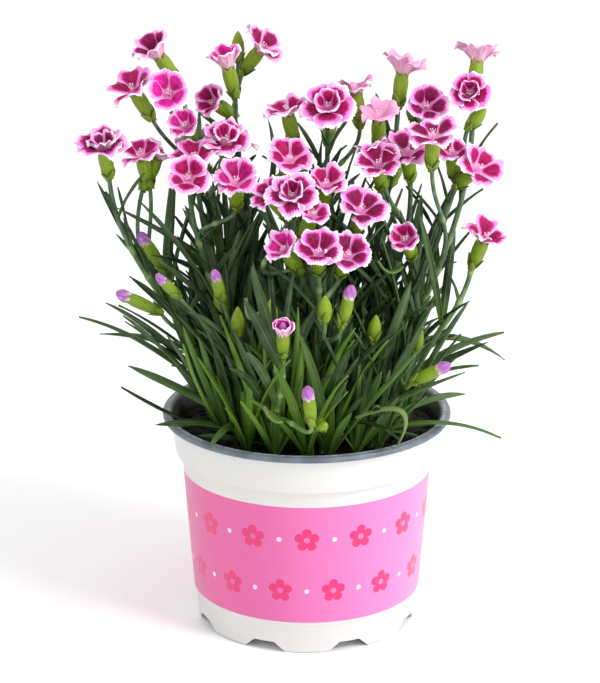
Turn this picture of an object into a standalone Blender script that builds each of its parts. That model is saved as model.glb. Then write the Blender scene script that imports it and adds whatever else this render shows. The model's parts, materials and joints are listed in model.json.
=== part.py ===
# A dianthus in flower, rooted in its two-tone nursery pot.
# +Z is up, the origin is the middle of the pot's foot, and -Y is the side that the front view shows.
# Lengths are in millimetres here, and MM turns them to metres as each mesh is made.

import math
import random

import bmesh
import bpy
from mathutils import Matrix, Vector
from mathutils.bvhtree import BVHTree

MM = 0.001
UP = Vector((0, 0, 1))
SEED = 11

# Pot
POT_HEIGHT = 98.4
RIM_RADIUS = 65.0
MOUTH_RADIUS = 60.7
LIP_DEPTH = 3.0
COLLAR_RADIUS = 59.1
COLLAR_FOOT = 79.7
FOOT_RADIUS = 49.6
BODY_SLOPE = 0.077
BAND_FOOT = 14.2
BAND_STEP = 0.9
WALL = 1.3
FLOOR_HEIGHT = 5.2
PAD_RADIUS = 13.0
POT_SIDES = 27
NOTCH_COUNT = 8
NOTCH_WIDTH = 20.0
NOTCH_TOP_WIDTH = 9.5
NOTCH_HEIGHT = 4.5
DRAIN_CIRCLE = 33.0
DRAIN_RADIUS = 3.6

# Soil
SOIL_TOP = 89.0
SOIL_BUMP = 1.0
SOIL_CLEARANCE = 0.45
HOLE_DEPTH = 11.0
HOLE_RADIUS = 2.7

# Stems and leaves
STEM_RADIUS = 1.45
STALK_RADIUS = 0.95
STEM_POINTS = (0.0, 0.25, 0.5, 0.75, 1.0)
STALK_POINTS = (0.0, 0.5, 1.0)
LEAN = 0.5
LEAF_KEEL = 0.95
LEAF_SHAPE = ((-0.012, 0.25, 0.5), (0.34, 1.0, 1.0), (0.7, 0.85, 0.9), (1.0, 0.0, 0.0))
LEAF_TWIST = 0.9
LEAF_LENGTHS = (46, 72)
LEAF_WIDTHS = (3.8, 5.6)
LOWEST_LIFT = (24, 62)
LIFT = (50, 82)
DROOP = (0, 46)
NODE_HEIGHTS = (5, 11, 18, 26, 36, 48, 61, 75, 90)
LEAVES_PER_STEM = 8
CLEARANCE = 0.45
TRIES = 40
LEAF_TRIES = 16
TOP_NODE = 0.82
STEM_TAPER = 0.07
STALK_SINK = 1.6

# Flowers
GAP = 0.3
THROAT = 4.0
THROAT_RISE = 0.3
THROAT_RADII = (2.2, 2.7)
PETALS = 5
PETAL_ROOT = 1.2
PETAL_LEAN = 0.14
PETAL_WAVE = 0.45
ROOT_HEIGHT = -1.6
ROW_STEP = 0.7
ROW_SHRINK = 0.38
ROW_RISE = 26
BLOOM_TURN = 0.7
CALYX_LENGTH = 14.0
CALYX_RADIUS = 3.2
CALYX_FOOT_RADIUS = 1.9
CALYX_SIDES = 5
BUD_RADIUS = 2.9
BUD_TIP_RADIUS = 2.6
BUD_TIP_LENGTH = 6.0
BUD_FOOT_RADIUS = 1.6
PETAL_THICKNESS = 0.8
PETAL_OUTLINE = (
    (0.0, 0.0), (0.5, -0.36), (0.91, -0.56), (1.0, 0.0), (0.91, 0.56), (0.5, 0.36),
)

# The front view that the flowers' places are given in: an eye 1.2 m from the pot that looks down on
# it, with a picture 600 wide and 683 high.
EYE = Vector((-3.0, -1200.0, 525.9))
LOOK_DOWN = math.radians(18.27)
FOCAL_PIXELS = 2821.6
PICTURE_MIDDLE = (300.0, 341.5)

# Blooms: name, centre in the front view, depth behind the pot's axis, the way it faces (right, back,
# up), radius, degrees that its petals rise, rows of petals, and where its stalk leaves the stem.
# One with no name is grown into the bloom above it, and the first one ends its stem.
# Buds: foot in the front view, depth, the way it points, length, name of its coloured tip or None,
# and where its stalk leaves the stem.
# Leaves: where it leaves the stem, its tip in the front view, the tip's depth, its arch and width.
STEMS = (
    {
        "name": "leafy_stem_far_left", "root": (-38, 2),
        "blooms": (
            ("bloom_far_left", (103, 145), -6, (-1, -4, 9), 13.5, 12, 2, 1.0),
            ("bloom_left_edge", (140, 151), 4, (-2, -2, 9), 11.0, 18, 1, 0.6),
            (None, (160, 152), 12, (4, 3, 8), 9.5, 18, 1, 0.6),
        ),
        "buds": (
            ((165, 272), 8, (-5, -2, 9), 17, "bud_tip_left", 0.4),
            ((160, 312), -14, (-9, -2, 5), 16, "bud_tip_far_left", 0.2),
        ),
        "leaves": (
            (0.10, (79, 317), 12, 12, 3.0),
            (0.14, (106, 303), -16, 8, 5.0),
            (0.62, (97, 181), 6, -3, 2.6),
        ),
    },
    {
        "name": "leafy_stem_left_top", "root": (-27, 14),
        "blooms": (
            ("bloom_left_top", (155, 50), 18, (-5, -2, 8), 12.0, 32, 1, 1.0),
            ("bloom_left_high", (131, 86), 8, (-5, -2, 9), 13.0, 15, 1, 0.6),
            ("bloom_left_cup", (168, 92), -2, (0, -8, 5), 11.5, 34, 1, 0.8),
        ),
        "buds": (),
        "leaves": ((0.12, (100, 334), 24, 10, 3.4), (0.4, (113, 206), 0, -4, 2.8)),
    },
    {
        "name": "leafy_stem_left_inner", "root": (-16, 3),
        "blooms": (
            ("bloom_left_small", (184, 124), 6, (-2, -6, 6), 8.5, 25, 1, 1.0),
            ("bloom_left_ruffled", (226, 138), 4, (0, -4, 8), 12.5, 14, 2, 0.8),
            (None, (193, 154), -4, (-1, -3, 9), 12.5, 14, 1, 0.6),
        ),
        "buds": (((225, 310), -20, (-3, -1, 9), 12, None, 0.4),),
        "leaves": ((0.5, (268, 119), 14, 2, 3.0),),
    },
    {
        "name": "leafy_stem_top_left", "root": (-10, 23),
        "blooms": (
            ("bloom_top_left", (264, 45), 28, (5, -3, 7), 12.0, 20, 1, 1.0),
            ("bloom_half_open", (226, 60), 20, (-2, -2, 9), 9.5, 42, 1, 0.8),
            ("bloom_left_peeping", (212, 101), 25, (-5, -6, 5), 9.0, 36, 1, 0.6),
        ),
        "buds": (((238, 60), 34, (0, 1, 9), 13, None, 0.8),),
        "leaves": (),
    },
    {
        "name": "leafy_stem_left_front", "root": (-25, -20),
        "blooms": (
            ("bloom_left_face", (188, 177), -22, (0, -8, 5), 11.0, 24, 1, 1.0),
            ("bloom_left_fan", (236, 179), -15, (0, -5, 8), 11.5, 24, 1, 0.8),
        ),
        "buds": (),
        "leaves": (
            (0.02, (121, 387), -10, -14, 4.0),
            (0.03, (155, 425), -34, 4, 4.2),
            (0.06, (209, 448), -62, 8, 3.8),
        ),
    },
    {
        "name": "leafy_stem_centre", "root": (1, 9),
        "blooms": (
            ("bloom_centre_high", (286, 107), 12, (-2, -2, 9), 11.0, 18, 1, 1.0),
            ("bloom_centre", (290, 157), -8, (1, -6, 7), 12.0, 24, 1, 0.8),
        ),
        "buds": (),
        "leaves": ((0.75, (339, 128), 14, -3, 2.8),),
    },
    {
        "name": "leafy_stem_centre_front", "root": (-4, -13),
        "blooms": (
            ("bloom_centre_front", (292, 194), -36, (0, -6, 7), 12.5, 16, 2, 1.0),
            (None, (268, 194), -31, (-5, -4, 7), 9.5, 18, 1, 1.0),
            (None, (314, 212), -40, (3, -5, 8), 8.0, 18, 1, 1.0),
            ("bloom_front_left", (283, 248), -44, (-4, -5, 7), 9.5, 34, 1, 0.6),
        ),
        "buds": (((238, 335), -42, (0, -2, 9), 14, None, 0.2),),
        "leaves": (),
    },
    {
        "name": "leafy_stem_centre_top", "root": (8, 25),
        "blooms": (
            ("bloom_centre_top", (328, 105), 6, (0, -6, 6), 13.0, 16, 2, 1.0),
            ("bloom_centre_pale", (355, 86), 22, (-1, 1, 8), 10.5, 20, 1, 0.8),
        ),
        "buds": (),
        "leaves": ((0.6, (322, 139), 26, -4, 3.0),),
    },
    {
        "name": "leafy_stem_mid_right", "root": (9, -2),
        "blooms": (
            ("bloom_mid_right", (326, 182), -20, (1, -5, 8), 10.0, 24, 1, 1.0),
            ("bloom_mid_low", (362, 207), -24, (1, -5, 8), 12.5, 20, 1, 0.8),
        ),
        "buds": (),
        "leaves": (),
    },
    {
        "name": "leafy_stem_front_right", "root": (7, -33),
        "blooms": (
            ("bloom_front", (319, 250), -52, (0, -6, 7), 11.5, 22, 1, 1.0),
            (None, (349, 253), -48, (2, -6, 7), 10.8, 22, 1, 0.8),
        ),
        "buds": (
            ((342, 325), -54, (2, -1, 9), 13, "bud_tip_lilac", 0.4),
            ((325, 320), -60, (0, -2, 9), 12, None, 0.4),
        ),
        "leaves": ((0.08, (401, 441), -60, 14, 4.6),),
    },
    {
        "name": "leafy_stem_right_mid", "root": (21, 7),
        "blooms": (
            ("bloom_right_mid", (407, 149), -2, (-1, -4, 8), 12.0, 18, 1, 1.0),
            (None, (378, 161), -10, (-1, -5, 8), 11.5, 18, 1, 0.8),
            (None, (371, 146), 0, (-3, 2, 8), 8.5, 18, 1, 0.8),
        ),
        "buds": (((373, 340), -36, (1, -1, 9), 12, None, 0.2),),
        "leaves": (),
    },
    {
        "name": "leafy_stem_right_top", "root": (20, 24),
        "blooms": (
            ("bloom_right_top", (403, 66), 24, (1, 1, 9), 12.0, 26, 1, 1.0),
            ("bloom_right_high", (427, 105), 14, (1, -7, 5), 10.5, 30, 1, 0.8),
            ("bloom_right_pale", (379, 113), 8, (0, -3, 8), 10.0, 18, 1, 0.6),
        ),
        "buds": (((412, 118), 28, (1, 1, 9), 12, None, 0.8),),
        "leaves": (),
    },
    {
        "name": "leafy_stem_right_outer", "root": (33, 13),
        "blooms": (
            ("bloom_edge_top", (478, 54), 24, (1, 3, 8), 11.0, 28, 1, 1.0),
            ("bloom_edge_high", (470, 92), 6, (-1, -8, 5), 10.5, 22, 2, 0.8),
            ("bloom_right_flat", (433, 131), -18, (0, -2, 9), 12.5, 14, 1, 0.6),
        ),
        "buds": (((468, 128), 14, (6, -1, 7), 12, None, 0.8),),
        "leaves": (),
    },
    {
        "name": "leafy_stem_far_right", "root": (33, -5),
        "blooms": (
            ("bloom_far_right", (480, 166), -2, (5, -5, 6), 12.5, 18, 1, 1.0),
            (None, (452, 150), 3, (-1, -5, 8), 8.5, 18, 1, 0.8),
            ("bloom_right_opening", (405, 238), -24, (-2, -6, 6), 8.5, 36, 1, 0.4),
        ),
        "buds": (),
        "leaves": ((0.3, (505, 360), 16, 18, 3.2),),
    },
    {
        "name": "leafy_stem_right_low", "root": (28, -26),
        "blooms": (("bloom_right_low", (486, 234), -12, (3, -3, 9), 11.0, 20, 1, 1.0),),
        "buds": (((412, 382), -44, (8, -3, 5), 14, "bud_tip_right", 0.2),),
        "leaves": ((0.05, (501, 438), -30, 12, 4.0), (0.08, (466, 394), -14, 8, 3.6)),
    },
    {
        "name": "leafy_stem_front_low", "root": (-15, -37),
        "blooms": (),
        "buds": (
            ((283, 356), -62, (0, -4, 8), 14, "bud_tip_rolled", 1.0),
            ((271, 325), -54, (0, -1, 9), 12, None, 0.6),
            ((312, 424), -68, (-1, -2, 9), 13, "bud_tip_low", 0.2),
        ),
        "leaves": (),
    },
    {
        "name": "leafy_stem_back_left", "root": (-24, 33),
        "blooms": (
            ("bloom_back_left", (196, 141), 52, (-3, 5, 8), 12.0, 18, 1, 1.0),
            (None, (233, 139), 48, (3, 4, 9), 12.0, 18, 1, 0.8),
        ),
        "buds": (((200, 262), 60, (-3, 6, 8), 13, None, 0.4), ((222, 300), 64, (0, 6, 8), 12, None, 0.2)),
        "leaves": (),
    },
    {
        "name": "leafy_stem_back_right", "root": (13, 41),
        "blooms": (
            ("bloom_back_centre", (332, 107), 54, (1, 5, 8), 12.0, 18, 1, 1.0),
            ("bloom_back_right", (405, 150), 46, (4, 4, 8), 12.0, 18, 1, 0.6),
        ),
        "buds": (((330, 262), 66, (1, 6, 8), 13, None, 0.4), ((384, 290), 62, (4, 5, 8), 12, None, 0.2)),
        "leaves": (),
    },
)

# Colours: base colour, roughness
FINISHES = {
    "white_plastic": ((0.86, 0.86, 0.85, 1), 0.35),
    "soil": ((0.035, 0.022, 0.014, 1), 0.95),
    "green": ((0.07, 0.16, 0.05, 1), 0.5),
    "petal": ((0.75, 0.12, 0.42, 1), 0.6),
    "bud": ((0.55, 0.12, 0.48, 1), 0.55),
}


def clear_scene():
    for obj in list(bpy.data.objects):
        bpy.data.objects.remove(obj, do_unlink=True)


def new_collection(name):
    found = bpy.data.collections.new(name)
    bpy.context.scene.collection.children.link(found)
    return found


def make_material(name, finish):
    colour, roughness = FINISHES[finish]
    made = bpy.data.materials.new(name)
    made.use_nodes = True
    shader = made.node_tree.nodes["Principled BSDF"]
    shader.inputs["Base Color"].default_value = colour
    shader.inputs["Roughness"].default_value = roughness
    shader.inputs["Metallic"].default_value = 0.0
    return made


def add_object(name, mesh, collection):
    made = bpy.data.objects.new(name, mesh)
    collection.objects.link(made)
    return made


def object_from(name, points, faces, collection):
    mesh = bpy.data.meshes.new(name)
    mesh.from_pydata([Vector(point) * MM for point in points], [], faces)
    return add_object(name, mesh, collection)


def object_from_bmesh(name, shape, collection):
    mesh = bpy.data.meshes.new(name)
    shape.to_mesh(mesh)
    shape.free()
    return add_object(name, mesh, collection)


def evaluated_mesh(source):
    graph = bpy.context.evaluated_depsgraph_get()
    mesh = bpy.data.meshes.new_from_object(source.evaluated_get(graph))
    mesh.transform(source.matrix_world)
    return mesh


def settle(source):
    """Applies the object's modifiers."""
    mesh = evaluated_mesh(source)
    source.modifiers.clear()
    source.data = mesh
    source.matrix_world = Matrix.Identity(4)
    return source


def turned(name, profile, sides, collection):
    """A profile of (radius, height) points, down its outer side, turned round Z."""
    points = [(radius * MM, 0, height * MM) for radius, height in profile]
    edges = [(index, index + 1) for index in range(len(points) - 1)]
    mesh = bpy.data.meshes.new(name)
    mesh.from_pydata(points, edges, [])
    made = add_object(name, mesh, collection)
    screw = made.modifiers.new("turn", "SCREW")
    screw.steps = sides
    screw.render_steps = sides
    screw.use_merge_vertices = True
    screw.merge_threshold = 0.00001
    screw.use_smooth_shade = False
    return settle(made)


def boolean(target, cutters, operation, solver="EXACT"):
    modifier = target.modifiers.new(operation.lower(), "BOOLEAN")
    modifier.operation = operation
    modifier.operand_type = "COLLECTION"
    modifier.collection = cutters
    modifier.solver = solver


def cut(target, cutters):
    """Cuts the cutters out of the target, and keeps them as hidden guides."""
    boolean(target, cutters, "DIFFERENCE")
    settle(target)
    for obj in cutters.objects:
        obj.hide_render = True
        obj.display_type = "WIRE"


# Geometry in the front view

def seen_at(pixel, depth):
    """The point, depth behind the pot's axis, that the front view shows at a pixel."""
    across = (pixel[0] - PICTURE_MIDDLE[0]) / FOCAL_PIXELS
    rise = (PICTURE_MIDDLE[1] - pixel[1]) / FOCAL_PIXELS
    ahead = math.cos(LOOK_DOWN)
    down = math.sin(LOOK_DOWN)
    distance = (depth - EYE.y) / (ahead + down * rise)
    return EYE + distance * Vector((across, ahead + down * rise, ahead * rise - down))


def along(points, share):
    """The point at a share of the length of a line of points."""
    lengths = [(b - a).length for a, b in zip(points, points[1:])]
    left = share * sum(lengths)
    for start, end, length in zip(points, points[1:], lengths):
        if left <= length:
            return start.lerp(end, left / length)
        left -= length
    return points[-1].copy()


def cubic(p0, p1, p2, p3, share):
    rest = 1 - share
    return (
        rest ** 3 * p0 + 3 * rest ** 2 * share * p1 + 3 * rest * share ** 2 * p2 + share ** 3 * p3
    )


def arc(p0, p1, p2, share):
    rest = 1 - share
    return rest ** 2 * p0 + 2 * rest * share * p1 + share ** 2 * p2


# Pot and soil

def body_radius(height):
    return FOOT_RADIUS + BODY_SLOPE * height


def pot_profile():
    """From the middle of the floor up the inner wall, over the rolled lip, and down the outside."""
    inner_floor = FLOOR_HEIGHT + WALL
    collar_top = POT_HEIGHT - LIP_DEPTH
    step = COLLAR_RADIUS - body_radius(COLLAR_FOOT)
    return (
        (0, inner_floor),
        (body_radius(inner_floor) - WALL, inner_floor),
        (body_radius(COLLAR_FOOT) - WALL, COLLAR_FOOT - 1),
        (COLLAR_RADIUS - WALL, COLLAR_FOOT + step),
        (MOUTH_RADIUS - 0.3, collar_top),
        (MOUTH_RADIUS + 0.8, POT_HEIGHT),
        (RIM_RADIUS - 0.9, POT_HEIGHT), (RIM_RADIUS, POT_HEIGHT - 0.9),
        (RIM_RADIUS - 0.4, collar_top), (MOUTH_RADIUS + 0.8, collar_top),
        (COLLAR_RADIUS, COLLAR_FOOT),
        (body_radius(COLLAR_FOOT) + BAND_STEP, COLLAR_FOOT - 1.2),
        (body_radius(BAND_FOOT) + BAND_STEP, BAND_FOOT),
        (body_radius(BAND_FOOT - 1.4), BAND_FOOT - 1.4),
        (FOOT_RADIUS, 0), (FOOT_RADIUS - 1.6, 0),
        (body_radius(FLOOR_HEIGHT) - WALL - 1.2, FLOOR_HEIGHT),
        (PAD_RADIUS + 2, FLOOR_HEIGHT), (PAD_RADIUS, 0), (0, 0),
    )


def make_pot(parts):
    cutters = new_collection("pot_cutters")
    pot = turned("pot", pot_profile(), POT_SIDES, parts)
    for index in range(NOTCH_COUNT):
        turn = math.tau * (index + 0.5) / NOTCH_COUNT
        notch = bmesh.new()
        bmesh.ops.create_cube(notch, size=1)
        for vert in notch.verts:
            width = NOTCH_TOP_WIDTH if vert.co.z > 0 else NOTCH_WIDTH + 2
            height = NOTCH_HEIGHT if vert.co.z > 0 else -1.0
            reach = FOOT_RADIUS + 12 * vert.co.x
            vert.co = Vector((reach, vert.co.y * width, height)) * MM
        notch.transform(Matrix.Rotation(turn, 4, "Z"))
        object_from_bmesh("notch_cutter", notch, cutters)
        drain = bmesh.new()
        centre = Matrix.Rotation(turn, 4, "Z") @ Vector((DRAIN_CIRCLE, 0, FLOOR_HEIGHT)) * MM
        bmesh.ops.create_cone(
            drain, cap_ends=True, segments=4, radius1=DRAIN_RADIUS * MM, radius2=DRAIN_RADIUS * MM,
            depth=8 * WALL * MM, matrix=Matrix.Translation(centre),
        )
        object_from_bmesh("drain_cutter", drain, cutters)
    cut(pot, cutters)
    pot.data.materials.append(make_material("pot_plastic", "white_plastic"))
    return pot


def soil_surface(x, y):
    return SOIL_TOP + SOIL_BUMP * (math.sin(x / 7 + 1) * math.cos(y / 9) + 0.5 * math.sin((x - y) / 5))


def make_soil(parts, roots):
    cutters = new_collection("soil_cutters")
    bottom = FLOOR_HEIGHT + WALL + SOIL_CLEARANCE
    inside = WALL + SOIL_CLEARANCE
    step = COLLAR_RADIUS - body_radius(COLLAR_FOOT)
    top_radius = COLLAR_RADIUS - inside + 0.3
    profile = [(top_radius * share, SOIL_TOP) for share in (0, 0.5, 1)]
    profile += [
        (COLLAR_RADIUS - inside, COLLAR_FOOT + step),
        (body_radius(COLLAR_FOOT) - inside, COLLAR_FOOT - 1),
        (body_radius(bottom) - inside, bottom), (0, bottom),
    ]
    soil = turned("soil", profile, POT_SIDES, parts)
    for vert in soil.data.vertices:
        x, y, z = vert.co / MM
        if z > SOIL_TOP - 1:
            vert.co.z = soil_surface(x, y) * MM
    for root in roots:
        hole = bmesh.new()
        centre = Vector((root[0], root[1], SOIL_TOP)) * MM
        bmesh.ops.create_cone(
            hole, cap_ends=True, segments=4, radius1=HOLE_RADIUS * MM, radius2=HOLE_RADIUS * MM,
            depth=2 * HOLE_DEPTH * MM, matrix=Matrix.Translation(centre),
        )
        object_from_bmesh("root_hole_cutter", hole, cutters)
    cut(soil, cutters)
    soil.data.materials.append(make_material("potting_soil", "soil"))


# Blades and tubes

def leaf_shape(leaf, start=0.0, grow=0.0):
    """The blade of a leaf, flat above and keeled below, from a share of its length on.

    A leaf is its arc's three points, its width and its twist. A margin to grow by tests its room.
    """
    p0, p1, p2, width, twist = leaf
    side = (p1 - p0).cross(p2 - p1)
    if side.length < 1:
        side = (p2 - p0).cross(Vector((0.3, 0.2, 1)))
    side.normalize()
    points = []
    for share, wide, deep in LEAF_SHAPE:
        share = start + (1 - start) * share
        centre = arc(p0, p1, p2, share)
        ahead = (p1 - p0).lerp(p2 - p1, share).normalized()
        across = Matrix.Rotation(twist * min(1, 2.5 * share), 3, ahead) @ side
        below = ahead.cross(across)
        half = width * wide / 2 + grow
        centre -= below * grow * 0.6
        keel = centre + below * (LEAF_KEEL * deep + grow)
        points += [centre + across * half, centre - across * half, keel]
    tip = len(points) - 3
    points = points[:tip] + [p2 + (p2 - p1).normalized() * grow * 2]
    faces = [(2, 1, 0)]
    for low in range(0, tip - 3, 3):
        for corner in range(3):
            after = (corner + 1) % 3
            faces.append((low + corner, low + after, low + 3 + after))
            faces.append((low + corner, low + 3 + after, low + 3 + corner))
    faces += [(tip - 3, tip - 2, tip), (tip - 2, tip - 1, tip), (tip - 1, tip - 3, tip)]
    return points, faces


def rod_shape(line, radius):
    """A plain four-sided rod along a line, used to test for room."""
    points = []
    faces = []
    for index, centre in enumerate(line):
        ahead = (line[min(index + 1, len(line) - 1)] - line[max(index - 1, 0)]).normalized()
        side = ahead.cross(Vector((0.2, 1, 0.1))).normalized()
        other = ahead.cross(side)
        for turn in range(4):
            angle = math.tau * turn / 4
            points.append(centre + radius * (math.cos(angle) * side + math.sin(angle) * other))
    for index in range(len(line) - 1):
        low = 4 * index
        for corner in range(4):
            after = (corner + 1) % 4
            faces.append((low + corner, low + after, low + 4 + after, low + 4 + corner))
    return points, faces


def tube(name, line, radii, collection):
    """A tapering four-sided tube along a line of points, with its caps welded."""
    curve = bpy.data.curves.new(name, "CURVE")
    curve.dimensions = "3D"
    curve.bevel_depth = MM
    curve.bevel_resolution = 0
    curve.use_fill_caps = True
    spline = curve.splines.new("POLY")
    spline.points.add(len(line) - 1)
    for point, place, radius in zip(spline.points, line, radii):
        point.co = (*(place * MM), 1)
        point.radius = radius
    source = add_object(name, curve, collection)
    welded = bmesh.new()
    welded.from_mesh(evaluated_mesh(source))
    bmesh.ops.remove_doubles(welded, verts=welded.verts, dist=0.00001)
    bmesh.ops.recalc_face_normals(welded, faces=welded.faces)
    bpy.data.objects.remove(source, do_unlink=True)
    return object_from_bmesh(name, welded, collection)


class Crowd:
    """What already stands in the plant, so that a new leaf or stalk can be bent clear of it."""

    def __init__(self):
        self.solids = []

    def add(self, owner, points, faces):
        box = [[op(p[axis] for p in points) for axis in range(3)] for op in (min, max)]
        self.solids.append((owner, box, BVHTree.FromPolygons(points, faces)))

    def add_object(self, owner, made):
        points = [vert.co / MM for vert in made.data.vertices]
        self.add(owner, points, [tuple(face.vertices) for face in made.data.polygons])

    def touches(self, points, faces, skip=None, only=None):
        """Whether a new shape would cross a solid of any owner but skip, or only of one owner."""
        low = [min(p[axis] for p in points) for axis in range(3)]
        high = [max(p[axis] for p in points) for axis in range(3)]
        tree = BVHTree.FromPolygons(points, faces)
        for owner, box, solid in self.solids:
            if owner == skip or (only and owner != only):
                continue
            if any(box[0][a] > high[a] or box[1][a] < low[a] for a in range(3)):
                continue
            if tree.overlap(solid):
                return True
        return False


# Flowers

def face_frame(centre, facing):
    """A matrix whose Z is the way the flower faces, at its centre."""
    return Matrix.Translation(centre) @ facing.to_track_quat("Z", "Y").to_matrix().to_4x4()


def petal(frame, turn, radius, cup, root_height, collection):
    """A thin waved petal: a flat six-sided sphere whose ring is moved to the petal's outline."""
    shape = bmesh.new()
    bmesh.ops.create_uvsphere(shape, u_segments=6, v_segments=2, radius=1)
    ring = [vert for vert in shape.verts if abs(vert.co.z) < 0.5]
    ring.sort(key=lambda vert: math.atan2(vert.co.y, vert.co.x))
    poles = [vert for vert in shape.verts if abs(vert.co.z) > 0.5]
    rise = math.radians(cup)
    spin = Matrix.Rotation(turn, 4, "Z")

    def place(reach, across, lift):
        out = PETAL_ROOT + reach * (radius - PETAL_ROOT)
        local = Vector((
            out * math.cos(rise) - lift * math.sin(rise),
            across * radius,
            root_height + out * math.sin(rise) + lift * math.cos(rise) + PETAL_LEAN * across * radius,
        ))
        return (frame @ spin @ local) * MM

    for index, (vert, (reach, across)) in enumerate(zip(ring, PETAL_OUTLINE)):
        lift = PETAL_WAVE * (-1) ** index if reach > 0.8 else 0
        vert.co = place(reach, across, lift)
    for vert in poles:
        vert.co = place(0.62, 0, math.copysign(PETAL_THICKNESS / 2, vert.co.z))
    bmesh.ops.recalc_face_normals(shape, faces=shape.faces)
    return object_from_bmesh("petal", shape, collection)


def make_bloom(pixel, depth, facing, radius, cup, rows, collection):
    """A bloom's throat and petals, as loose pieces."""
    frame = face_frame(seen_at(pixel, depth), Vector(facing))
    offset = pixel[0] * BLOOM_TURN
    throat = bmesh.new()
    height = THROAT - GAP + THROAT_RISE
    low, high = THROAT_RADII
    bmesh.ops.create_cone(
        throat, cap_ends=True, segments=PETALS, radius1=low * MM, radius2=high * MM, depth=height * MM,
    )
    spin = Matrix.Rotation(offset + math.pi / PETALS, 4, "Z")
    place = frame @ spin @ Matrix.Translation((0, 0, GAP - THROAT + height / 2))
    place.translation *= MM
    throat.transform(place)
    object_from_bmesh("throat", throat, collection)
    for row in range(rows):
        size = radius * (1 - ROW_SHRINK * row)
        count = PETALS - 2 * row
        for index in range(count):
            turn = offset + math.tau * (index + 0.5 * row) / count
            petal(frame, turn, size, cup + ROW_RISE * row, ROOT_HEIGHT + ROW_STEP * row, collection)


def calyx_line(pixel, depth, facing):
    """The foot and the top of a bloom's calyx."""
    centre = seen_at(pixel, depth)
    axis = Vector(facing).normalized()
    return centre - axis * (THROAT + CALYX_LENGTH), centre - axis * THROAT


def make_bud(name, foot, top, radius, collection):
    """A closed bud, turned to a point."""
    length = (top - foot).length
    profile = ((0, length), (radius * 0.75, length * 0.66), (radius, length * 0.38))
    profile += ((BUD_FOOT_RADIUS, 0), (0, 0))
    made = turned(name, profile, CALYX_SIDES, collection)
    place = face_frame(foot, top - foot)
    place.translation *= MM
    made.data.transform(place)
    return made


def make_calyx(foot, top, radius, collection):
    """A calyx that widens from its foot to a flat top."""
    shape = bmesh.new()
    length = (top - foot).length
    bmesh.ops.create_cone(
        shape, cap_ends=True, segments=CALYX_SIDES, radius1=CALYX_FOOT_RADIUS * MM, radius2=radius * MM,
        depth=length * MM,
    )
    place = face_frame((foot + top) / 2, top - foot)
    place.translation *= MM
    shape.transform(place)
    return object_from_bmesh("calyx", shape, collection)


# Stems

def stem_route(start, end, facing, sway, lead):
    """A cubic route that leaves start along lead and comes up to end from behind its flower."""
    span = (end - start).length
    p1 = start + lead * span * 0.4 + sway
    p2 = end - (facing * 0.2 + UP * 0.2) * span + sway * 0.6
    return p1, p2


def sway_vector(rng, amount):
    return Vector((rng.uniform(-1, 1), rng.uniform(-1, 1), rng.uniform(-0.4, 0.4))) * amount


def grow_line(crowd, rng, owner, start, end, facing, lead, shares, radius):
    """A route from start to end that touches no other node, tried with more and more sway."""
    for attempt in range(TRIES):
        sway = sway_vector(rng, 0.9 * attempt)
        p1, p2 = stem_route(start, end, facing, sway, lead)
        line = [cubic(start, p1, p2, end, share) for share in shares]
        if not crowd.touches(*rod_shape(line, radius + CLEARANCE), skip=owner):
            break
    return line


def clear_of_pot(points):
    """Whether a leaf lies above the soil, over the rim and outside the wall."""
    for point in points:
        out = math.hypot(point.x, point.y)
        if out < MOUTH_RADIUS - 3 and point.z < SOIL_TOP + 2.5:
            return False
        if MOUTH_RADIUS - 3 <= out < RIM_RADIUS + 1 and point.z < POT_HEIGHT + 0.8:
            return False
    return True


def place_leaf(crowd, owner, leaf):
    """Whether a leaf has room; if so it joins the crowd."""
    inner = min(0.5, 6 / (leaf[2] - leaf[0]).length)
    free_part = leaf_shape(leaf, inner, CLEARANCE)
    if not clear_of_pot(free_part[0]):
        return False
    if crowd.touches(*leaf_shape(leaf, 0.0, CLEARANCE), skip=owner):
        return False
    if crowd.touches(*free_part, only=owner):
        return False
    crowd.add(owner, *leaf_shape(leaf))
    return True


def rule_leaf(rng, spot, turn, height):
    """A leaf that grows from a stem's node: longer low down, and flatter at the lowest node."""
    length = rng.uniform(*LEAF_LENGTHS) * (1.05 - height / 190)
    lift = math.radians(rng.uniform(*(LOWEST_LIFT if height == NODE_HEIGHTS[0] else LIFT)))
    droop = math.radians(rng.uniform(*DROOP))
    out = Vector((math.cos(turn), math.sin(turn), 0))
    p1 = spot + length * 0.5 * (out * math.cos(lift) + UP * math.sin(lift))
    p2 = p1 + length * 0.5 * (out * math.cos(lift - droop) + UP * math.sin(lift - droop))
    return spot, p1, p2, rng.uniform(*LEAF_WIDTHS), rng.uniform(-LEAF_TWIST, LEAF_TWIST)


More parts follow.
